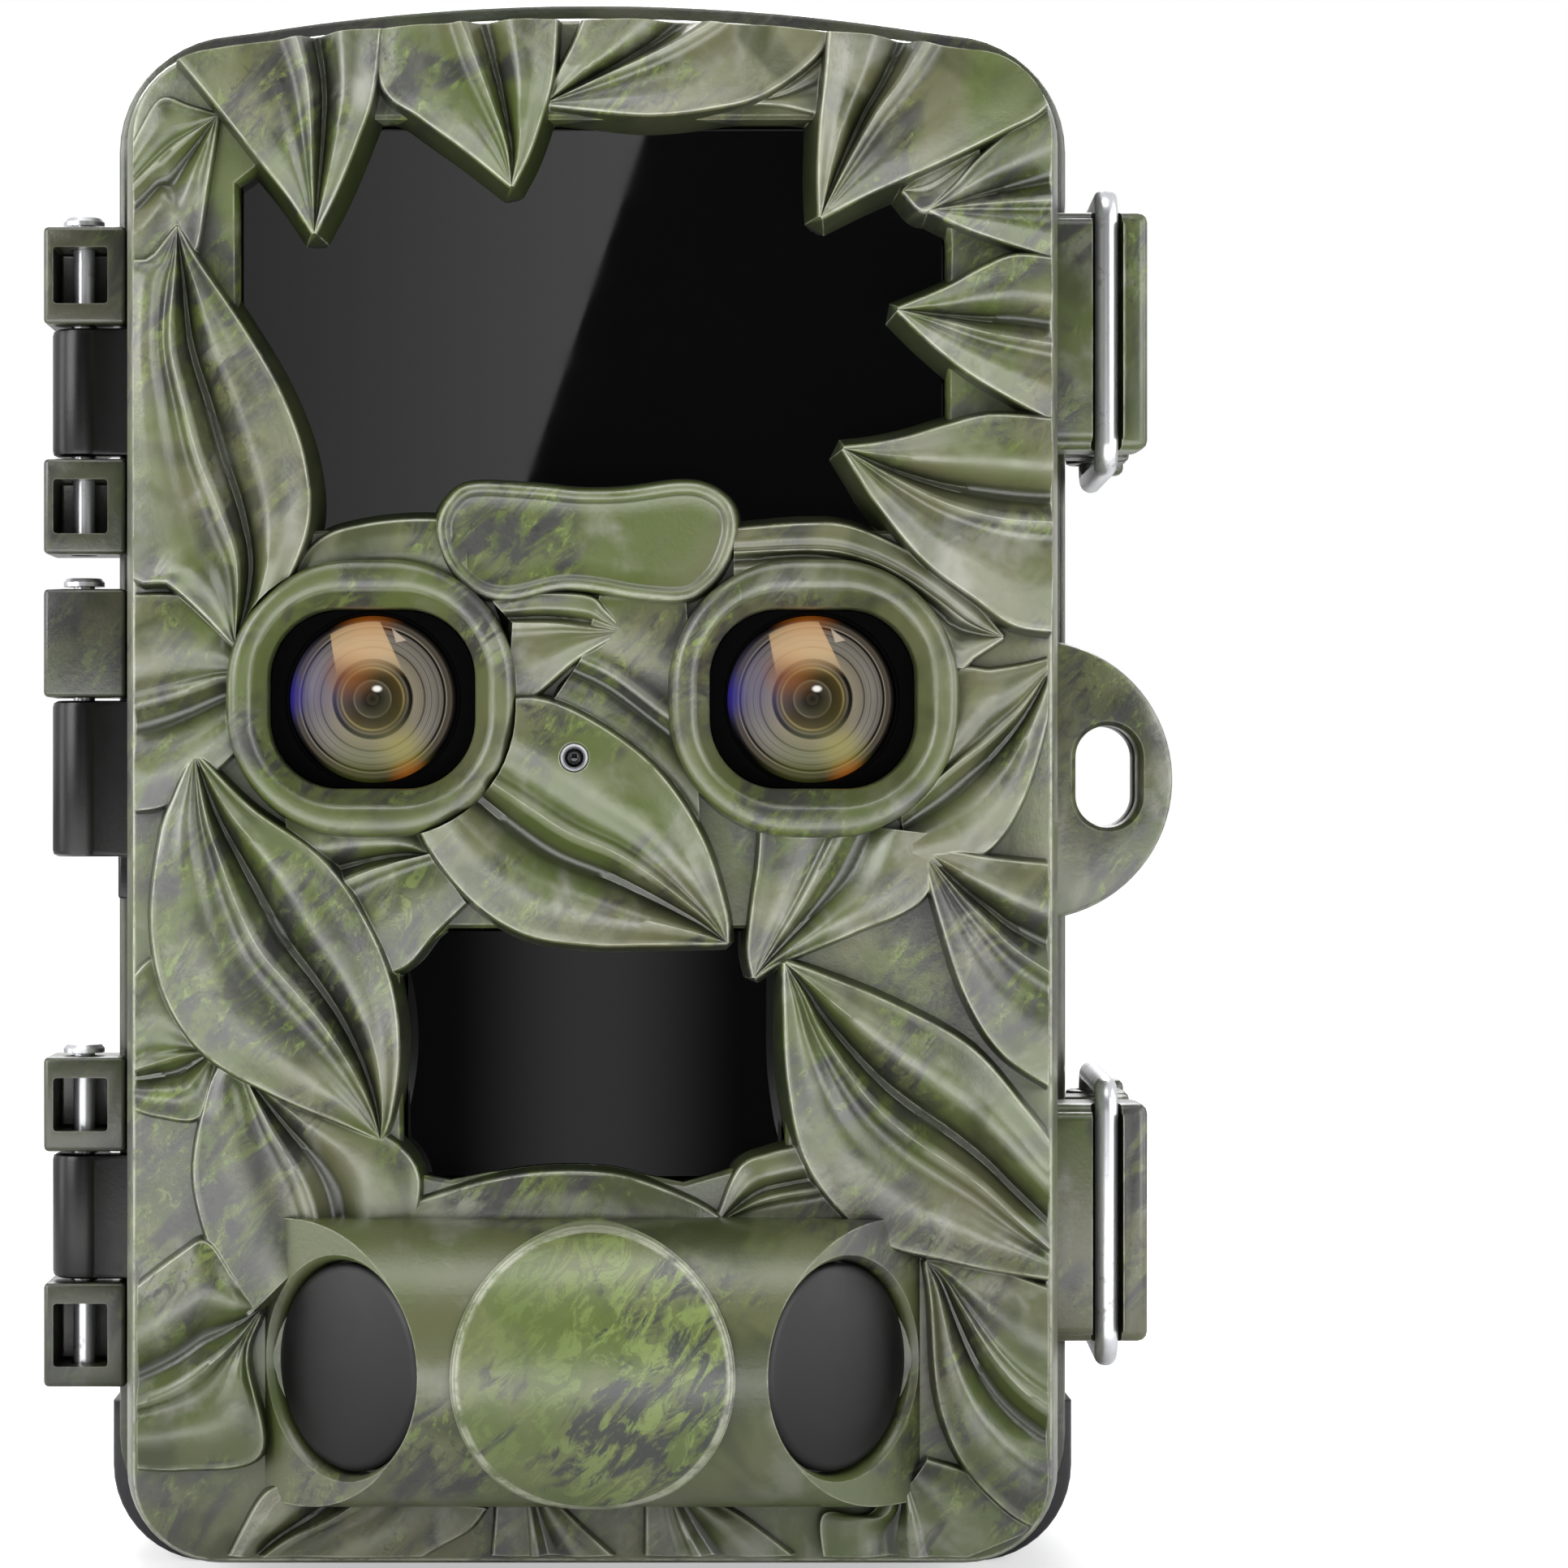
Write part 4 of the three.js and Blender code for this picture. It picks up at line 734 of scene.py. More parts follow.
# Each look's material and the slot it goes into.
LOOKS = {
    "camo": (camo("camo_print"), "camo_plastic"),
    # The rear half and the levers get a darker copy of the print: painted shade, for the darker light on
    # them.
    "camo_rear": (camo("camo_print_rear", 0.42), "camo_plastic"),
    "camo_lush": (camo("camo_print_lush", 0.95, 0.32), "camo_plastic"),
    "camo_litter": (leaf_litter("camo_leaf_litter"), "camo_plastic"),
    "black": (moulded("satin_black", "050405", "3c393e", 0.24, gloss=0.36), "black_plastic"),
    "gloss": (tinted_window("black_window"), "black_gloss"),
    "surround": (moulded("lens_surround", "010101", "030303", 0.5, gloss=0.03), "black_plastic"),
    "side_gloss": (moulded("black_window_side", "060607", "202024", 0.34, 0.3, 0.003, gloss=0.33),
                   "black_gloss"),
    "lens_left": (coated_lens("coated_lens_left", -1), "lens_glass"),
    "lens_right": (coated_lens("coated_lens_right", 1), "lens_glass"),
    "wire": (drawn_steel("bright_wire"), "bright_steel"),
    "steel": (moulded("dull_steel", "9a9a9c", "d8d8d8", 0.3, 0.2, 0.02, 0.3, 1.0), "dull_steel"),
    "brass": (moulded("turned_brass", "b08f4a", "e6cf94", 0.26, 0.25, 0.02, 0.3, 1.0), "brass"),
    "rubber": (moulded("boot_rubber", "26262a", "5c5c62", 0.5, 0.5, 0.06), "rubber"),
    "board": (circuit_board("solder_mask"), "circuit_board"),
    "cell": (cell_case("cell_sleeve"), "cell_case"),
    "screen": (display("screen_glass"), "black_gloss"),
}


# the leaf-moulded front
# Heights across a leaf's two halves, as (share of the way from the midrib to the edge, height).
GROOVED = [(0.0, 1.0), (0.05, 0.88), (0.13, 0.28), (0.22, -0.22), (0.3, -0.1), (0.42, 0.48), (0.56, 0.92),
           (0.7, 0.9), (0.86, 0.66), (1.0, 0.45)]
PLAIN = [(0.0, 1.0), (0.05, 0.9), (0.14, 0.56), (0.26, 0.58), (0.42, 0.8), (0.56, 0.86), (0.76, 0.7),
         (0.9, 0.54), (1.0, 0.45)]
ROUNDED = [(0.0, 1.0), (0.25, 0.97), (0.5, 0.84), (0.8, 0.62), (1.0, 0.5)]
LEAF_ROWS, SECTION_STEPS = 44, 20  # a leaf's cross-sections, and the steps across half of one
SWELL = 1.25  # all bulges, over what the table says
FULL_WIDTH = 5.0  # a half narrower than this swells less
RIM = [(0.1, 0.02), (0.26, 0.16), (0.36, 0.42)]  # how the edge rounds into the skirt: outwards and down
SKIRT_DRAFT = 0.15  # outward lean of the skirt for each millimetre of depth
LEAF_END, LEAF_STAGGER = PLATE_INSET + 0.1, 0.015
# Tones that the print turns into painted light: painted shade in grooves, painted highlights on bulges and
# edges, painted shade again down the skirt.
GROOVE_BELOW, BULGE_ABOVE, BULGE_HIGHLIGHT_TONE, EDGE_HIGHLIGHT_TONE = 0.2, 0.66, 0.45, 0.6
SKIRT_SHADE_AND_RIM_HIGHLIGHT_TONES = [-1.0, -0.8, -0.1, 0.8]


def across(profile, edge, midrib):
    """Half a leaf's section, from the edge to the midrib: places, heights, tones and shares of the way."""
    steps = spline(profile, SECTION_STEPS)[::-1]
    share, height = np.clip(steps[:, 0], 0, 1), steps[:, 1]
    places = midrib + share[:, None] * (edge - midrib)
    # Below 0 for painted shade low in the groove, above 0 for a painted highlight on the crest.
    grooves = np.clip((height - GROOVE_BELOW) * 2.4, -1, 0)
    crests = BULGE_HIGHLIGHT_TONE * np.clip((height - BULGE_ABOVE) / 0.26, 0, 1)
    return places, height, grooves + crests, share


def normals_out(edge, other):
    """Unit normals of a leaf's edge, pointing away from its other edge."""
    along = np.gradient(edge, axis=0)
    along /= np.linalg.norm(along, axis=1, keepdims=True) + 1e-9
    normal = np.column_stack([along[:, 1], -along[:, 0]])
    middle = LEAF_ROWS // 2
    return normal if np.dot(normal[middle], edge[middle] - other[middle]) > 0 else -normal


def half_row(profile, edge, normal, rib, sizes, lift, swell, foot):
    """Half a leaf's cross-section: points and tones from the skirt's foot over the edge to the midrib."""
    rib_size, edge_size = sizes
    places, heights, tones, share = across(profile, edge, rib)
    scale = SWELL * swell * (rib_size * (1 - share) + edge_size * share)
    section = [(x, PLATE_FRONT - lift - h * q, z) for (x, z), h, q in zip(places, heights, scale)]
    tones = list(tones * min(1.0, rib_size * 1.2))
    tones[0] = EDGE_HIGHLIGHT_TONE
    top = section[0][1]
    steps = [(out, top + down) for out, down in RIM]
    steps.append((RIM[-1][0] + SKIRT_DRAFT * (foot - top), foot))
    skirt = [(edge[0] + normal[0] * out, y, edge[1] + normal[1] * out) for out, y in steps]
    return skirt[::-1] + section, SKIRT_SHADE_AND_RIM_HIGHLIGHT_TONES + tones


def leaf(order, name, groove, lift, swell, tip, a, b, m, foot=LEAF_FOOT, bulge=False):
    """A moulded leaf: two swelling halves, a midrib grooved on one side, rounded edges, drafted skirts."""
    edges = [spline(tip + a, LEAF_ROWS), spline(tip + b, LEAF_ROWS)]
    rib = spline(tip + m, LEAF_ROWS)
    normals = [normals_out(*edges), normals_out(*edges[::-1])]
    rows, tones = [], []
    for k in range(LEAF_ROWS):
        sizes = [min(1.0, (np.linalg.norm(edge[k] - rib[k]) / FULL_WIDTH) ** 0.8) for edge in edges]
        row = []
        for side, edge, normal, size in zip("ab", edges, normals, sizes):
            profile = ROUNDED if bulge else GROOVED if side == groove else PLAIN
            rib_and_edge = (sum(sizes) / 2, size)
            half, half_tones = half_row(profile, edge[k], normal[k], rib[k], rib_and_edge, lift, swell, foot)
            if side == "b":
                half, half_tones = half[::-1][1:], half_tones[::-1][1:]
            row += half
            tones += half_tones
        rows.append(row)
    # Each leaf ends a little further in than the one before, so that no two of their ends share a plane.
    made = keep(loft(rows, tones=tones), slab(door_outline(LEAF_END + LEAF_STAGGER * order), -40, -10))
    if name == "beak":
        made = cut(made, rod(1.3, "y", STATUS, -30, -10, 32))
    for side in (-1, 1):
        made = cut(made, slab(centred_rect(side * LENS_X, LENS_Z, *GOGGLE), -40, -10))
    return made


def add_leaves():
    """All leaves as one piece."""
    made = [leaf(order, *shape) for order, shape in enumerate(LEAVES)]
    base = made[0]
    chosen = dict(active_object=base, object=base, selected_objects=made, selected_editable_objects=made)
    with bpy.context.temp_override(**chosen):
        bpy.ops.object.join()
    return piece(base, "leaf_relief", "door", "camo", sharp=50)


def door_body():
    """The door's box: rounded sides, bevelled front plate, hollow inside, with its two window openings."""
    # Each ring's third number is its tone: a painted highlight along the plate's rim and painted shade where
    # the side turns into the bevel.
    rings = [(DOOR_INSET + 0.2, FRAME_FRONT - GAP, 0), (DOOR_INSET + 0.2, -5, 0), (SIDE_INSET, -16.6, 0),
             (SIDE_INSET + 0.1, -17.8, 0), (PLATE_INSET - 0.3, -21.4, -0.3), (PLATE_INSET - 0.12, -22.0, 0.3),
             (PLATE_INSET + 0.02, -22.25, 1.0), (PLATE_INSET + 0.3, -22.4, 0.2)]
    made = loft([at_y(door_outline(inset), y) for inset, y, _ in rings], tones=[tone for _, _, tone in rings])
    made = cut(made, slab(door_outline(SIDE_INSET + WALL), PLATE_INNER, 1))
    x0, x1, z0, _ = LAMP_WINDOW
    lamp = [(x0, z0), (x1, z0), (x1, 120), (x1 - 0.2, 124), (x1 - 4, 131), (x0 + 4, 131), (x0 + 1.7, 126.6),
            (x0, 125.4)]
    motion = [(-16.6, 39.6), (-15.5, 38.2), (-12.5, 37.6), (-9, 38.3), (0, 39), (8, 37.4), (13, 38.8),
              (17, 40.4), (17, 59.8), (-12.6, 59.8), (-17, 56.4)]
    for outline in (lamp, motion):
        rims = [at_y(grown(outline, 0.35), PLATE_FRONT - 1), at_y(grown(outline, 0.35), PLATE_FRONT),
                at_y(outline, PLATE_FRONT + 0.4), at_y(outline, PLATE_INNER + 1)]
        made = cut(made, loft(rims))
    for side in (-1, 1):
        made = cut(made, slab(centred_rect(side * LENS_X, LENS_Z, 10.5, 9.5, 7.5), -30, -10))
    made = cut(made, rod(1.45, "y", STATUS, -30, -10))
    nose_hollow = block(-24, 24, -20, PLATE_INNER + 1, NOSE_Z - 9, NOSE_Z + 9)
    return cut(made, nose_hollow)


def ear(y0, y1):
    """One leaf of the padlock ear, rounded at its rim and round its hole."""
    soft = 0.5
    rings = [(soft, y0), (0.3 * soft, y0 + 0.3 * soft), (0, y0 + soft)]
    rings += [(0, y1 - soft), (0.3 * soft, y1 - 0.3 * soft), (soft, y1)]
    made = loft([at_y(arc(EAR_X, EAR_Z, EAR_R - inset, -90, 90, 40), y) for inset, y in rings])
    hole = [(0.45, y0 - 1), (0.45, y0), (0.1, y0 + 0.35), (0, y0 + 0.6)]
    hole += [(0, y1 - 0.6), (0.1, y1 - 0.35), (0.45, y1), (0.45, y1 + 1)]
    x, z, half_w, half_h = EAR_HOLE
    rims = [at_y(centred_rect(x, z, half_w + g, half_h + g, half_w - 0.01 + g), y) for g, y in hole]
    return cut(made, loft(rims))


def front_door():
    """The door's shell with its half of the ear and the two latch catches."""
    made = door_body()
    clear = door_outline(SIDE_INSET + WALL)
    rim = block(30, CASE_HALF - DOOR_INSET + GAP, FRAME_FRONT - GAP, 0, 50, 95)
    made = join(made, cut(ear(-4.4, -0.5), slab(clear, -60, 10), rim))
    for z in LATCHES.values():
        catch = block(38, CATCH_X, CATCH_FRONT, CATCH_BACK, z - CATCH_HALF, z + CATCH_HALF, 0.9)
        hook = block(38, CATCH_X - 2.1, CATCH_FRONT - 1.4, CATCH_BACK, z - CATCH_HALF + 0.7, z + CATCH_HALF
                     - 0.7, 0.8)
        groove = join(rod(WIRE_R + 0.35, "z", (BAR_X, BAR_Y, 0), z - 20, z + 20),
                      block(BAR_X - 1.4, BAR_X + 1.4, CATCH_FRONT - 4, BAR_Y, z - 20, z + 20))
        made = join(made, cut(join(catch, hook), slab(clear, -60, 10), groove))
    return piece(made, "door_shell", "door", "camo", "front_shell")


def goggle(side):
    """The raised bezel round a lens: the aperture's wall, a sloping inner bevel, a ridge, a rounded ring."""
    section = [(-0.02, WINDOW_FACE), (0.0, -23.2), (0.04, -23.7), (0.3, -24.7), (0.36, -25.2),
               (0.42, -25.4), (0.55, -25.5), (0.75, -25.5), (0.9, -25.25), (0.97, -24.8), (1.0, -24.2),
               (1.05, -22.2), (1.08, WINDOW_FACE)]
    # Tones of the rings: painted shade down the aperture's wall and the outer wall, a painted highlight along
    # the ridge.
    shades = [-0.9, -0.5, -0.1, 0.0, 0.6, 0.0, -0.1, 0.0, 0.0, 0.0, -0.4, -0.9, -1.0]
    inner = np.array(centred_rect(side * LENS_X, LENS_Z, 9.1, 7.95, 6.2))
    outer = np.array(centred_rect(side * LENS_X, LENS_Z, *GOGGLE))
    rings = [at_y(inner + share * (outer - inner), y) for share, y in section]
    made = loft(rings, closed=True, tones=shades)
    return piece(made, "goggle_left" if side < 0 else "goggle_right", "door", "camo_lush", sharp=60)


def plaque():
    """The blank label field over the lenses, with a raised bead round it."""
    outline = [(-10.5, 98.6), (-12.5, 97.3), (-13.4, 95.2), (-12.9, 92.6), (-11.5, 90.5), (-9.6, 89.2),
               (-7, 88.9), (-3, 89.8), (0, 89.7), (4, 89), (8, 88.8), (10.2, 90), (11.6, 92), (12.4, 94.8),
               (11.9, 97), (10, 98.4), (7.5, 98.7), (3, 98.1), (-1, 98), (-5, 98.4)]
    curve = spline(outline, 110, closed=True)
    section = [(0.9, WINDOW_FACE), (0.55, -22.4), (0.3, -23.6), (0.1, -23.95), (-0.3, -24.1), (-0.65, -23.95),
               (-0.85, -23.65), (-1.15, -23.5), (-2.4, -23.55)]
    # Tones of the rings: painted shade at the foot and inside the bead, a painted highlight along the bead.
    shades = [-1.0, -0.8, 0.1, 0.7, 0.5, 0.0, -0.5, 0.0, 0.0]
    return piece(loft([at_y(grown(curve, out), y) for out, y in section], tones=shades), "brow_plaque",
                 "door", "camo_lush", sharp=60)


def nose_profile(grow):
    """The sensor housing's section in y and z: a short straight root and a half ellipse."""
    height, depth, root = NOSE_HALF_H + grow, -NOSE_FRONT + grow, 18.3
    t = np.radians(np.linspace(-90, 90, 49))
    curve = [(-(root + 7 + (depth - root - 7) * math.cos(a)), NOSE_Z + height * math.sin(a)) for a in t]
    return [(-root, NOSE_Z - height)] + curve + [(-root, NOSE_Z + height)]


def nose_bar(grow=0.0, half=NOSE_HALF_W, tone=0.0):
    """A bar with the nose's section, grown by grow."""
    return loft([[(x, y, z) for y, z in nose_profile(grow)] for x in (-half, half)], tones=[tone, tone])


def nose():
    """The sensor housing: a half-round bar cut to three faces, with recesses for the side lenses."""
    made = nose_bar()
    corner = -FACET_SUM + NOSE_HALF_W
    ends = [(-NOSE_HALF_W - 1, -17), (NOSE_HALF_W + 1, -17), (NOSE_HALF_W + 1, corner + 1),
            (14, 14 - FACET_SUM), (-14, 14 - FACET_SUM), (-NOSE_HALF_W - 1, corner + 1)]
    made = keep(made, loft([[(x, y, z) for x, y in ends] for z in (NOSE_Z - 20, NOSE_Z + 20)]))
    for axis, side in (("left", -1), ("right", 1)):
        centre = (side * SIDE_LENS_X, SIDE_LENS_X - FACET_SUM, NOSE_Z)
        recess = [(SIDE_LENS_R + 0.3, -3.2), (SIDE_LENS_R + 0.3, -0.7), (SIDE_LENS_R + 0.55, -0.2),
                  (SIDE_LENS_R + 1.1, 0.3), (SIDE_LENS_R + 1.1, 4)]
        made = cut(made, turned(recess, axis, centre, 72))
    made = cut(made, block(-23, 23, -20.5, -10, NOSE_Z - 9, NOSE_Z + 9))
    made = cut(made, block(-40, 40, PLATE_INNER - 1.0, -10, NOSE_Z - 20, NOSE_Z + 20))
    return piece(made, "nose_housing", "door", "camo_lush", sharp=30)


def nose_pad():
    """The oval pad printed with leaf litter in the middle of the sensor housing."""
    def oval(grow):
        t = np.linspace(0, 2 * math.pi, 96, endpoint=False)
        return [((11.8 + grow) * math.cos(a), NOSE_Z + (12.2 + grow) * math.sin(a)) for a in t]

    # The pad's body and rim carry high tones, which paint a highlight round its rim; its top carries none.
    made = keep(nose_bar(0.2, 14, 0.6), slab(oval(0.35), -45, -20))
    for grow, inset in ((0.4, 0.15), (0.52, -0.1), (0.6, -0.4)):
        made = join(made, keep(nose_bar(grow, 14, 0.0 if grow == 0.6 else 0.9), slab(oval(inset), -45, -20)))
    return piece(made, "nose_pad", "door", "camo_litter", sharp=30)


def side_lens(axis, side):
    """A shallow domed window in one of the nose's slanting faces."""
    centre = (side * SIDE_LENS_X, SIDE_LENS_X - FACET_SUM, NOSE_Z)
    profile = [(SIDE_LENS_R, -2.2), (SIDE_LENS_R, -1.1), (SIDE_LENS_R - 0.25, -0.8),
               (SIDE_LENS_R - 0.8, -0.66), (5.5, -0.35), (2.5, -0.2), (0.01, -0.15)]
    return piece(turned(profile, axis, centre, 72), f"motion_lens_{axis}_visual", "door", "side_gloss",
                 f"motion_lens_{axis}")


def motion_window():
    """A thin bowed window, curved about an upright axis."""
    x0, x1, z0, z1 = MOTION_WINDOW
    middle, half, bulge, rim = (x0 + x1) / 2, (x1 - x0) / 2 - GAP, 1.2, -20.2
    radius = (half * half + bulge * bulge) / (2 * bulge)
    reach = math.asin(half / radius)
    front = [(middle + radius * math.sin(t), rim + radius - bulge - radius * math.cos(t))
             for t in np.linspace(-reach, reach, 49)]
    back = [(x, y + 1.4) for x, y in reversed(front)]
    made = loft([[(x, y, z) for x, y in front + back] for z in (z0 + GAP, z1 - GAP)])
    return piece(made, "motion_window_visual", "door", "gloss", "motion_window")


def lens(side):
    """A black barrel with a throat, and the domed front element in it."""
    name = "left" if side < 0 else "right"
    x = side * LENS_X
    barrel = join(slab(centred_rect(x, LENS_Z, 8.95, 7.8, 6.1), -20.4, -16),
                  rod(7.6, "y", (x, 0, LENS_Z), -16.5, -8.5, 64))
    throat = [(LENS_R + 0.55, -21), (LENS_R + 0.35, -20.2), (LENS_R + 0.1, -20.0), (LENS_R + 0.1, -18.0)]
    barrel = cut(barrel, turned(throat, "y", (x, 0, LENS_Z), 72))
    piece(barrel, f"lens_barrel_{name}_visual", "door", "surround", f"lens_barrel_{name}")
    dome = [(LENS_R, -18.1), (LENS_R, -19.3)]
    for angle in np.radians(np.linspace(5, 89.9, 18)):
        dome.append((LENS_R * math.cos(angle), -19.3 - 2.1 * math.sin(angle)))
    piece(turned(dome, "y", (x, 0, LENS_Z), 96), f"lens_glass_{name}_visual", "door", f"lens_{name}",
          f"lens_glass_{name}")


def status_lamp():
    """A clear dome in a bright ring."""
    dome = [(0.78, -20), (0.78, -24.5), (0.6, -24.8), (0.3, -24.98), (0.01, -25.02)]
    ring = [(1.35, -20.5), (1.35, -25.2), (1.2, -25.45), (1.0, -25.45), (0.85, -25.2), (0.82, -24.9),
            (0.82, -20.5)]
    piece(turned(dome, "y", STATUS, 32), "status_dome", "door", "gloss", "status_lamp")
    angles = np.linspace(0, 2 * math.pi, 40, endpoint=False)
    rings = [[(STATUS_X + r * math.cos(t), y, STATUS_Z + r * math.sin(t)) for t in angles] for r, y in ring]
    piece(loft(rings, closed=True), "status_ring", "door", "wire")


# the rear half
# The CAD nodes that are shown as they are: look, rounding of their edges, names.
CARRIED = [
    ("gloss", 0, "lamp_window"),
    ("black", 0.25, "battery_tray"),
    ("rubber", 0.2, "case_seal"),
    ("steel", 0.12, "contact_strip_lower contact_strip_upper card_socket usb_port"),
    ("steel", 0.12, "frame_screw_1 frame_screw_2 frame_screw_3 frame_screw_4"),
    ("steel", 0.2, "motion_sensor_front motion_sensor_left motion_sensor_right"),
    ("steel", 0.2, "latch_pin_upper latch_pin_lower"),
    ("brass", 0.3, "tripod_insert"),
    ("board", 0.1, "lamp_board main_board"),
    ("screen", 0.3, "screen"),
    ("black", 0.15, "speaker power_switch memory_card"),
]


def strip(nodes, look, soft):
    """Carries CAD nodes over with a look and softly rounded edges."""
    material = LOOKS[look][0]
    for name in nodes:
        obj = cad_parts[name]
        obj.data.materials.clear()
        obj.data.materials.append(material)
        if soft:
            edge = obj.modifiers.new("soft_edges", "BEVEL")
            edge.width = soft * MM
            edge.segments = 2
            edge.limit_method = "ANGLE"
            edge.angle_limit = math.radians(35)
            edge.harden_normals = True


def rear_body():
    """The rear half's hollow body with its strap rails, ear, hinge knuckles, latch bosses and tripod boss."""
    rings = [(0.5, 0), (0.15, 0.15), (0, 0.5)]
    for t in np.radians(np.linspace(0, 90, 9)):
        rings.append((BACK_ROUND * (1 - math.cos(t)), REAR_DEPTH - BACK_ROUND + BACK_ROUND * math.sin(t)))
    made = loft([at_y(case_outline(inset), y) for inset, y in rings])
    for x0, x1 in ((-36, -27), (27, 36)):
        made = join(made, block(x0, x1, REAR_DEPTH - 2, RAIL_BACK, 30, 116, 1.0))
    made = join(made, ear(0, 3.4))
    made = join(made, *[block(HINGE_OUTER, -CASE_HALF + 1, KNUCKLE_FRONT, KNUCKLE_BACK, z0, z1, 0.45)
                        for z0, z1, _ in KNUCKLES])
    for z in LATCHES.values():
        for z0 in (z - LEVER_HALF, z + LEVER_HALF - 2.6):
            boss = join(rod(2.5, "z", PIVOT, z0, z0 + 2.6, 40, 0.3),
                        block(CASE_HALF - 1, PIVOT_X, PIVOT_Y - 2.5, PIVOT_Y + 2.0, z0, z0 + 2.6, 0.2))
            made = join(made, boss)
    made = cut(made, slab(case_outline(WALL), -1, REAR_DEPTH - WALL))
    made = join(made, rod(7, "z", TRIPOD, CASE_BOTTOM, 13))
    return cut(made, rod(4.6, "z", TRIPOD, -2, 11.5))


def rear_half():
    """The rear half with its strap slots, the ribbed field on its back, its pin holes and the boot's seat."""
    made = rear_body()
    for x0, x1 in ((-37, -26), (26, 37)):
        made = cut(made, block(x0, x1, REAR_DEPTH - 0.9, REAR_DEPTH + 2.3, 59, 87, 0.4))
    field = [at_y(rounded_rect(-22, 22, 34, 112, 5), REAR_DEPTH - 0.6),
             at_y(rounded_rect(-22, 22, 34, 112, 5.6), REAR_DEPTH + 1)]
    made = cut(made, loft(field))
    for z in (50, 66, 80, 96):
        made = join(made, block(-19, 19, REAR_DEPTH - 1, REAR_DEPTH + 0.1, z - 1.2, z + 1.2, 0.4))
    for z0, z1, cored in KNUCKLES:
        made = cut(made, rod(PIN_HOLE_R, "z", HINGE, z0 - 1, z1 + 1, 32))
        if cored:
            core = block(HINGE_OUTER + 0.9, -CASE_HALF - 0.7, KNUCKLE_FRONT - 1, 2.6, z0 + 1.9, z1 - 1.9, 0.3)
            made = cut(made, core)
    for z in LATCHES.values():
        made = cut(made, rod(PIN_HOLE_R, "z", PIVOT, z - LEVER_HALF - 1, z + LEVER_HALF + 1, 32))
    band = cut(slab(case_outline(-5), 1.2 - GAP, 30.3), slab(case_outline(1.2), -1, REAR_DEPTH + 1))
    made = cut(made, keep(band, block(-60, 60, -5, 60, -10, 15.3)))
    return piece(made, "rear_half", "rear_case", "camo_rear", "rear_shell")


def boot():
    """The rubber boot round the lower end, open in front and behind, with a grip step along its top."""
    half = 44.7

    def outline(inset):
        return (arc(9 - half, 9, 9 - inset, 180, 270) + arc(half - 9, 9, 9 - inset, -90, 0)
                + [(half - inset, 15 - inset), (inset - half, 15 - inset)])

    rings = [(0.5, 1.2), (0.15, 1.35), (0, 1.7), (0, 29.5), (0.15, 29.85), (0.5, 30)]
    made = loft([at_y(outline(inset), y) for inset, y in rings])
    made = cut(made, slab(case_outline(0.9), 0, 35), rod(8, "z", TRIPOD, -2, 3))
    return piece(made, "base_boot_visual", "rear_case", "rubber", "base_boot")


def cells():
    """Eight AA cells in two rows, turned head to tail, with bare metal ends."""
    for row, z in enumerate(CELL_ROWS):
        for i in range(4):
            up = i % 2 == row
            sign = 1 if up else -1
            end = CELL_LENGTH / 2
            profile = [(CELL_R - 0.7, -end), (CELL_R - 0.15, -end + 0.15), (CELL_R, -end + 0.6),
                       (CELL_R, end - 0.6), (CELL_R - 0.15, end - 0.15), (CELL_R - 0.7, end), (2.7, end),
                       (2.6, end + 0.9), (2.2, end + 1.0)]
            centre = ((i - 1.5) * CELL_PITCH, CELL_Y, z)
            made = turned([(r, sign * h) for r, h in profile], "z", centre)
            name = f"battery_cell_{row * 4 + i + 1}"
            piece(made, name + "_visual", "rear_case", "cell", name)
            made.data.materials.append(LOOKS["steel"][0])
            for face in made.data.polygons:
                if abs(face.normal.z) > 0.8:
                    face.material_index = 1


def hinge_pins():
    """Three headed pins."""
    tops = {"upper": (94.1, 124.2), "middle": (66.4, 90.8), "lower": (17.3, 47.6)}
    for name, (low, top) in tops.items():
        profile = [(0.7, low), (1.0, low + 0.3), (1.0, top), (1.9, top), (1.9, top + 0.4),
                   (1.6, top + 0.75), (0.6, top + 0.8)]
        piece(turned(profile, "z", HINGE, 32), f"pin_{name}", "rear_case", "wire", f"hinge_pin_{name}")


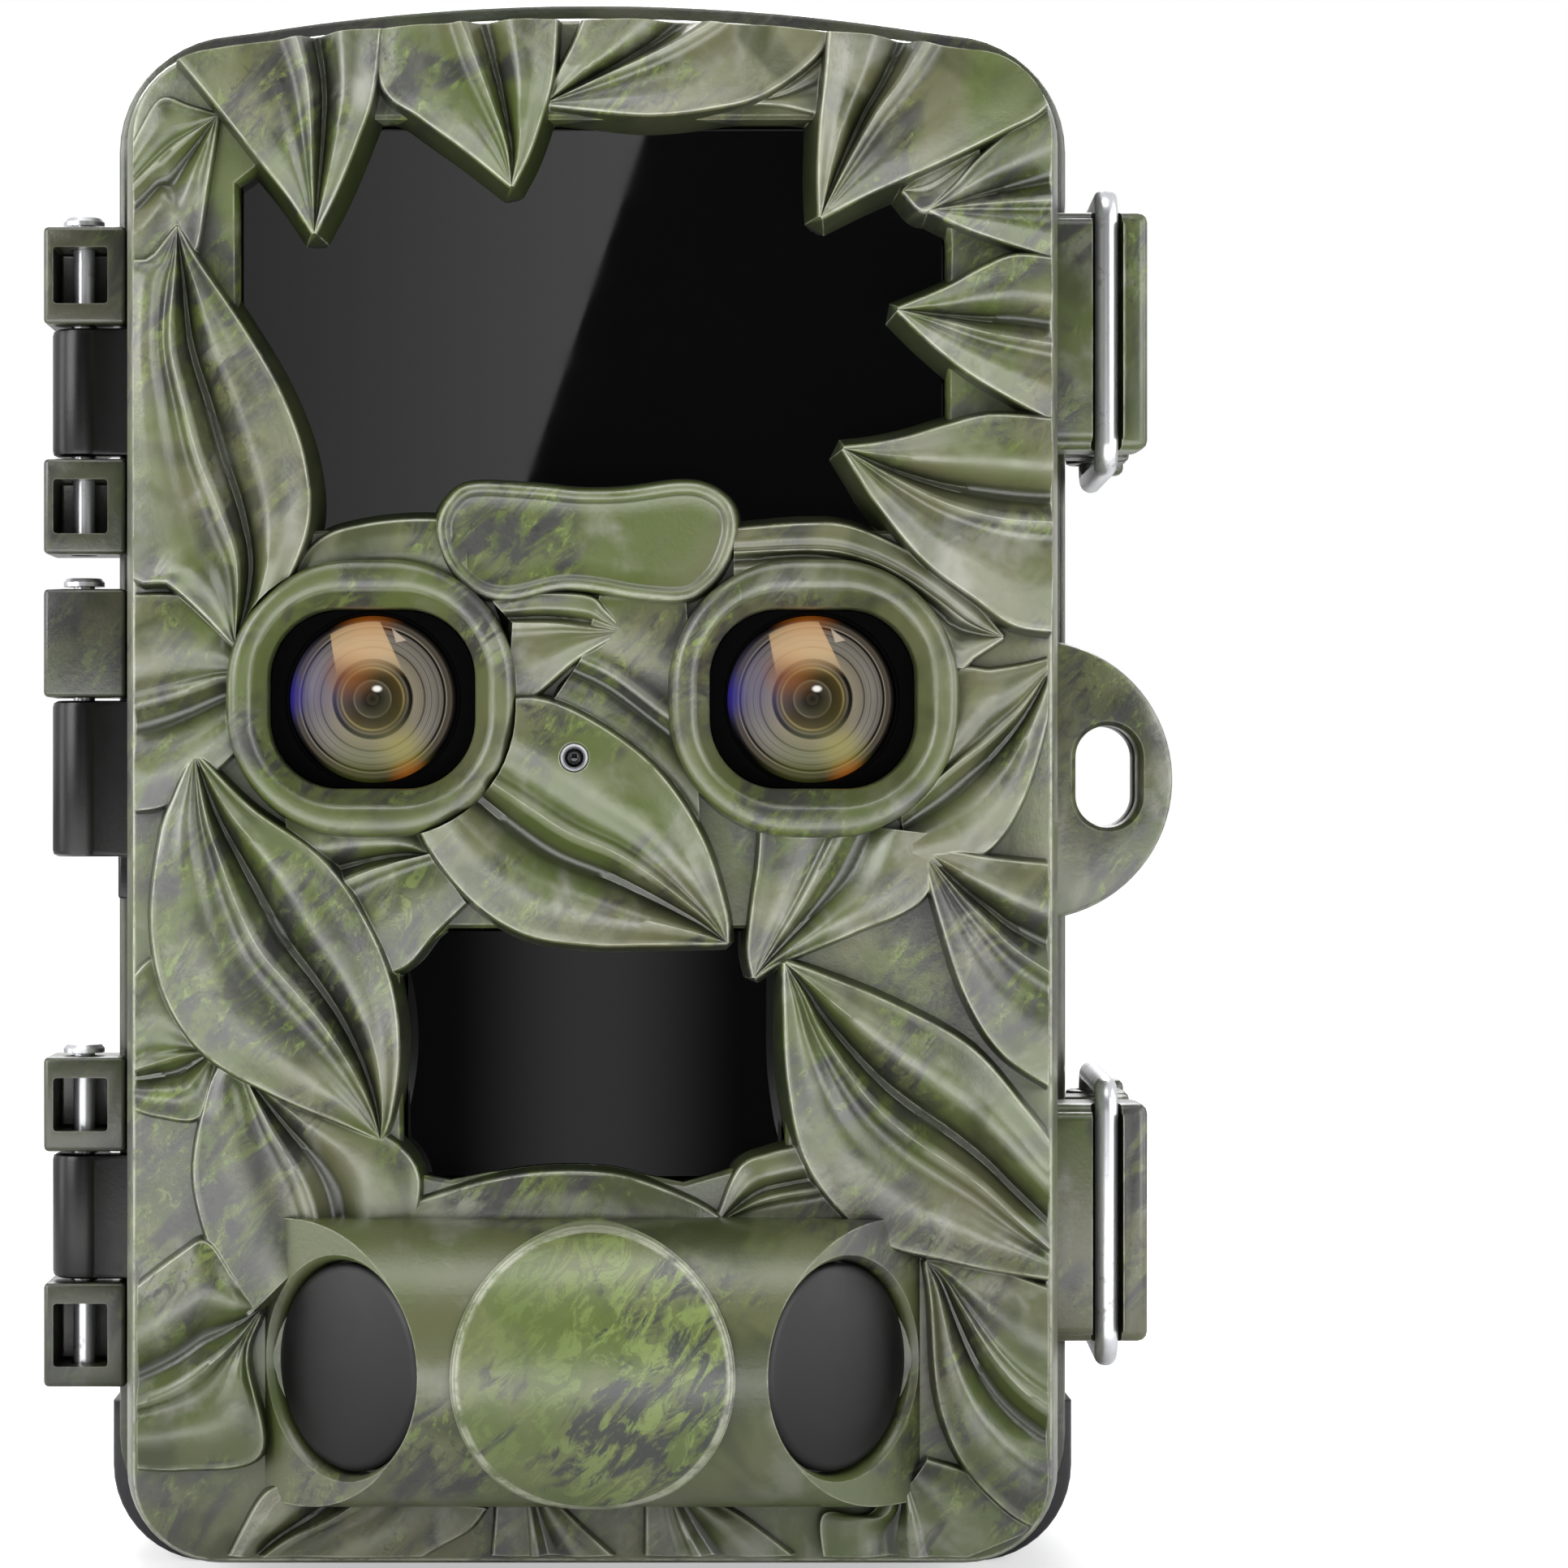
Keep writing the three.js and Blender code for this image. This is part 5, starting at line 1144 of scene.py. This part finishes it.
# the door's inner side
def door_frame():
    """The black inner cover with its hinge barrels, screen opening, button holes and ports."""
    made = soft_slab(door_outline(DOOR_INSET), FRAME_FRONT, FRAME_BACK, 0.3)
    for z0, z1 in BARRELS:
        flange = [(TUBE_R - 0.5, z0), (TUBE_R - 0.1, z0 + 0.2), (TUBE_R, z0 + 0.6), (TUBE_R, z1 - 0.6),
                  (TUBE_R - 0.1, z1 - 0.2), (TUBE_R - 0.5, z1)]
        made = join(made, turned(flange, "z", HINGE, 48),
                    block(HINGE_X, -40, FRAME_FRONT, FRAME_BACK, z0, z1, 0.3))
        made = cut(made, rod(PIN_HOLE_R, "z", HINGE, z0 - 1, z1 + 1, 32))
    made = join(made, block(-43.8, -40, FRAME_FRONT, FRAME_BACK, 61.9, 66, 0.3))
    tools = [slab(rounded_rect(-27, 27, 84, 125, 1.5), FRAME_FRONT - 1, FRAME_BACK + 1)]
    tools += [rod(r + 0.3, "y", (x, 0, z), FRAME_FRONT - 1, FRAME_BACK + 1) for x, z, r in BUTTONS.values()]
    tools += [block(-5.8, 3.8, FRAME_FRONT - 1, FRAME_BACK + 1, 24.2, 27.8),
              block(16, 32, FRAME_FRONT - 1, 1, 9, 39), block(-32, -18, FRAME_FRONT - 1, 1, 20, 32)]
    tools += [rod(1.6, "y", (x, 0, z), FRAME_FRONT - 1, FRAME_BACK + 1, 24) for x, z in SCREWS]
    for tool in tools:
        made = cut(made, tool)
    return piece(made, "door_inner_cover", "door", "black", "door_frame")


def buttons():
    """Six domed buttons with a collar under the inner cover."""
    for name, (x, z, r) in BUTTONS.items():
        profile = [(r + 0.8, -4.4), (r + 0.8, -3.6), (r, -3.6), (r, 0.0), (r - 0.12, 0.3), (r - 0.45, 0.48),
                   (r - 1.2, 0.42), (0.01, 0.32)]
        piece(turned(profile, "y", (x, 0, z), 40), f"button_{name}_visual", f"{name}_button", "rubber",
              f"button_{name}")


# latches
def bail(name, z):
    """A closed loop of bright wire with rounded corners."""
    front, rear = Vector((BAR_X, BAR_Y, z)), Vector((SEAT_X, SEAT_Y, z))
    depth = (rear - front).normalized()
    length = (rear - front).length
    corner = 2.0
    outline = rounded_rect(0, length, -BAIL_HALF, BAIL_HALF, corner, 7)
    path = [front + depth * u + Vector((0, 0, v)) for u, v in outline]
    side = depth.cross(Vector((0, 0, 1)))
    rings = []
    for i, point in enumerate(path):
        along = (path[(i + 1) % len(path)] - path[i - 1]).normalized()
        out = along.cross(side)
        rings.append([point + WIRE_R * (math.cos(t) * out + math.sin(t) * side)
                      for t in np.linspace(0, 2 * math.pi, 20, endpoint=False)])
    made = loft(rings, closed=True)
    piece(made, f"bail_{name}", f"{name}_bail", "wire", f"latch_bail_{name}", sharp=60)


def lever(name, z):
    """The latch lever: a ribbed grip plate, a curled lip, the pivot barrel and the bail's seat."""
    half = LEVER_HALF
    made = join(block(LEVER_OUTER - 2.6, LEVER_OUTER, PIVOT_Y + 3, LEVER_END, z - half, z + half, 0.6),
                block(LEVER_OUTER - 2.6, LEVER_OUTER + 1.6, LEVER_END - 2.4, LEVER_END, z - half, z + half,
                      0.7), rod(2.5, "z", PIVOT, z - 7.4, z + 7.4, 40, 0.3),
                block(PIVOT_X - 1.6, LEVER_OUTER, PIVOT_Y, PIVOT_Y + 5, z - 7.4, z + 7.4, 0.4),
                rod(2.3, "z", SEAT, z - half, z + half, 40, 0.3),
                block(SEAT_X, LEVER_OUTER, SEAT_Y - 2.3, SEAT_Y + 2.3, z - half, z + half, 0.4))
    made = cut(made, rod(PIN_HOLE_R, "z", PIVOT, z - 20, z + 20, 32))
    made = cut(made, rod(WIRE_R + 0.25, "z", SEAT, z - 20, z + 20, 32))
    for y in (20.5, 22.7, 24.9):
        rib_gap = block(LEVER_OUTER - 0.35, LEVER_OUTER + 1, y, y + 1, z - half + 2, z + half - 2, 0.15)
        made = cut(made, rib_gap)
    piece(made, f"lever_{name}", f"{name}_lever", "camo_rear", f"latch_lever_{name}")


# floor, light and camera
CAMERA_DISTANCE = 394.0  # from the front plate
WHITE = (1, 1, 1, 1)


def stage_quad(name, corners, shader):
    """A four-cornered sheet of the studio; the corners are in metres."""
    mesh = bpy.data.meshes.new(name)
    mesh.from_pydata(corners, [], [(0, 1, 2, 3)])
    mesh.materials.append(shader.material)
    sheet = placed(name, mesh)
    return sheet


def studio_floor():
    """A wide pale floor that fades into the white surround."""
    half = 4.0
    s = Shader("pale_floor")
    far = s.between(s.add("ShaderNodeVectorMath", {0: s.mm}, operation="LENGTH").outputs["Value"], 150, 700)
    seen = s.add("ShaderNodeLightPath").outputs["Is Camera Ray"]
    glow = s.times(seen, s.math("MULTIPLY_ADD", far, 0.45, 0.5))
    s.finish((0.86, 0.86, 0.86, 1), 0.6, None, **{"Specular IOR Level": 0.1, "Emission Color": WHITE,
                                                  "Emission Strength": glow})
    stage_quad("studio_floor", [(-half, -half, 0), (half, -half, 0), (half, half, 0), (-half, half, 0)], s)


def glow_card(name, corners, low, high, strength):
    """A glowing card behind the camera that only reflections see, brighter from low to high along x."""
    s = Shader(name + "_light")
    x = s.add("ShaderNodeSeparateXYZ", {0: s.mm}).outputs[0]
    level = s.times(strength[1], s.between(s.math("ABSOLUTE", x) if low > high else x, low, high))
    glow = s.plus(level, strength[0])
    s.finish((0, 0, 0, 1), 1.0, None, **{"Emission Color": WHITE, "Emission Strength": glow})
    card = stage_quad(name, [ORIGIN + Vector(c) * MM for c in corners], s)
    card.visible_camera = card.visible_diffuse = card.visible_shadow = False


def reflections():
    """The sheens on the black windows: a slanting one on the lamp window, a soft upright band lower down."""
    y = PLATE_FRONT - CAMERA_DISTANCE
    middle = CASE_TOP / 2

    def mirrored(x, z):
        return (2 * x, y, 2 * z - middle)

    glow_card("upper_card", [mirrored(-9, 90), mirrored(6.6, 136), mirrored(-40, 136), mirrored(-40, 90)],
              -75, 20, (0.6, 0.9))
    glow_card("lower_card", [(-420, y, -20), (420, y, -20), (420, y, 92), (-420, y, 92)], 120, 8, (0.0, 0.66))


def softbox(name, place, target, width, height, watts, hidden_from=()):
    """A rectangular light, seen by the object only. The pieces in hidden_from get none of it."""
    data = bpy.data.lights.new(name, "AREA")
    data.shape = "RECTANGLE"
    data.size, data.size_y = width * MM, height * MM
    data.energy = watts
    lamp = placed(name, data)
    lamp.location = ORIGIN + Vector(place) * MM
    lamp.rotation_euler = (Vector(target) - Vector(place)).to_track_quat("-Z", "Y").to_euler()
    lamp.visible_camera = False
    if hidden_from:
        shaded = bpy.data.collections.new(name + "_shaded")
        lamp.light_linking.receiver_collection = shaded
        for piece_name in hidden_from:
            shaded.objects.link(bpy.data.objects[piece_name])
        for entry in shaded.collection_objects:
            entry.light_linking.link_state = "EXCLUDE"


def surround():
    """White to the camera; to what mirrors it, bright at the sides and dark in front."""
    world = bpy.data.worlds.new("surround")
    bpy.context.scene.world = world
    s = Shader("surround", world)
    path = s.add("ShaderNodeLightPath").outputs
    depth = s.add("ShaderNodeSeparateXYZ", {0: s.add("ShaderNodeTexCoord").outputs["Generated"]}).outputs[1]
    mirrored = s.add("ShaderNodeMapRange", {0: depth, 1: -0.9, 2: -0.45, 3: 0.05, 4: 0.9}).outputs[0]
    seen = s.add("ShaderNodeMapRange", {0: path["Is Camera Ray"], 3: 0.13, 4: 1.0}).outputs[0]
    level = s.add("ShaderNodeMix", {0: path["Is Glossy Ray"], 2: seen, 3: mirrored}).outputs[0]
    light = s.add("ShaderNodeBackground", {"Color": WHITE, "Strength": level}).outputs[0]
    s.add("ShaderNodeOutputWorld", {0: light})


def lights():
    """Softboxes from both sides, above, below and behind, and the white surround."""
    surround()
    middle = (0, -20, CASE_TOP / 2)
    windows = ("lamp_window", "motion_window_visual")
    centre = (0, 0, 72)
    for name, place, target, width, height, watts in [
            ("front_left", (-400, -360, 250), middle, 260, 320, 1.9),
            ("front_right", (400, -340, 170), middle, 240, 320, 1.25),
            ("top", (-60, -170, 480), middle, 400, 200, 0.75),
            ("table_glow", (0, -250, 3), (0, -249, 300), 520, 330, 1.7),
            ("side_left", (-420, -40, 140), centre, 120, 420, 0.6),
            ("side_right", (420, -20, 160), centre, 120, 420, 0.6)]:
        softbox(name, place, target, width, height, watts, windows)
    softbox("back", (0, 420, 380), (0, 20, 72), 420, 300, 2.4)


def camera():
    """Square to the front, level with the middle of the case, with the case left of the picture's middle."""
    frame_width, sensor, aside = 137.94, 36.0, 16.85
    data = bpy.data.cameras.new("camera")
    data.sensor_width = sensor
    data.lens = sensor * CAMERA_DISTANCE / frame_width
    data.shift_x = aside / frame_width
    eye = placed("camera", data)
    eye.location = ORIGIN + Vector((0, PLATE_FRONT - CAMERA_DISTANCE, CASE_TOP / 2)) * MM
    eye.rotation_euler = (math.radians(90), 0, 0)
    bpy.context.scene.camera = eye


def build():
    """Every visible piece, and the CAD nodes that are shown as they are."""
    front_door()
    add_leaves()
    for side in (-1, 1):
        goggle(side)
        lens(side)
    plaque()
    nose()
    nose_pad()
    side_lens("left", -1)
    side_lens("right", 1)
    motion_window()
    status_lamp()
    rear_half()
    boot()
    cells()
    hinge_pins()
    door_frame()
    buttons()
    for name, z in LATCHES.items():
        bail(name, z)
        lever(name, z)
    for look, soft, names in CARRIED:
        strip(names.split(), look, soft)


build()
studio_floor()
reflections()
lights()
camera()
bpy.context.scene.view_settings.view_transform = "Standard"
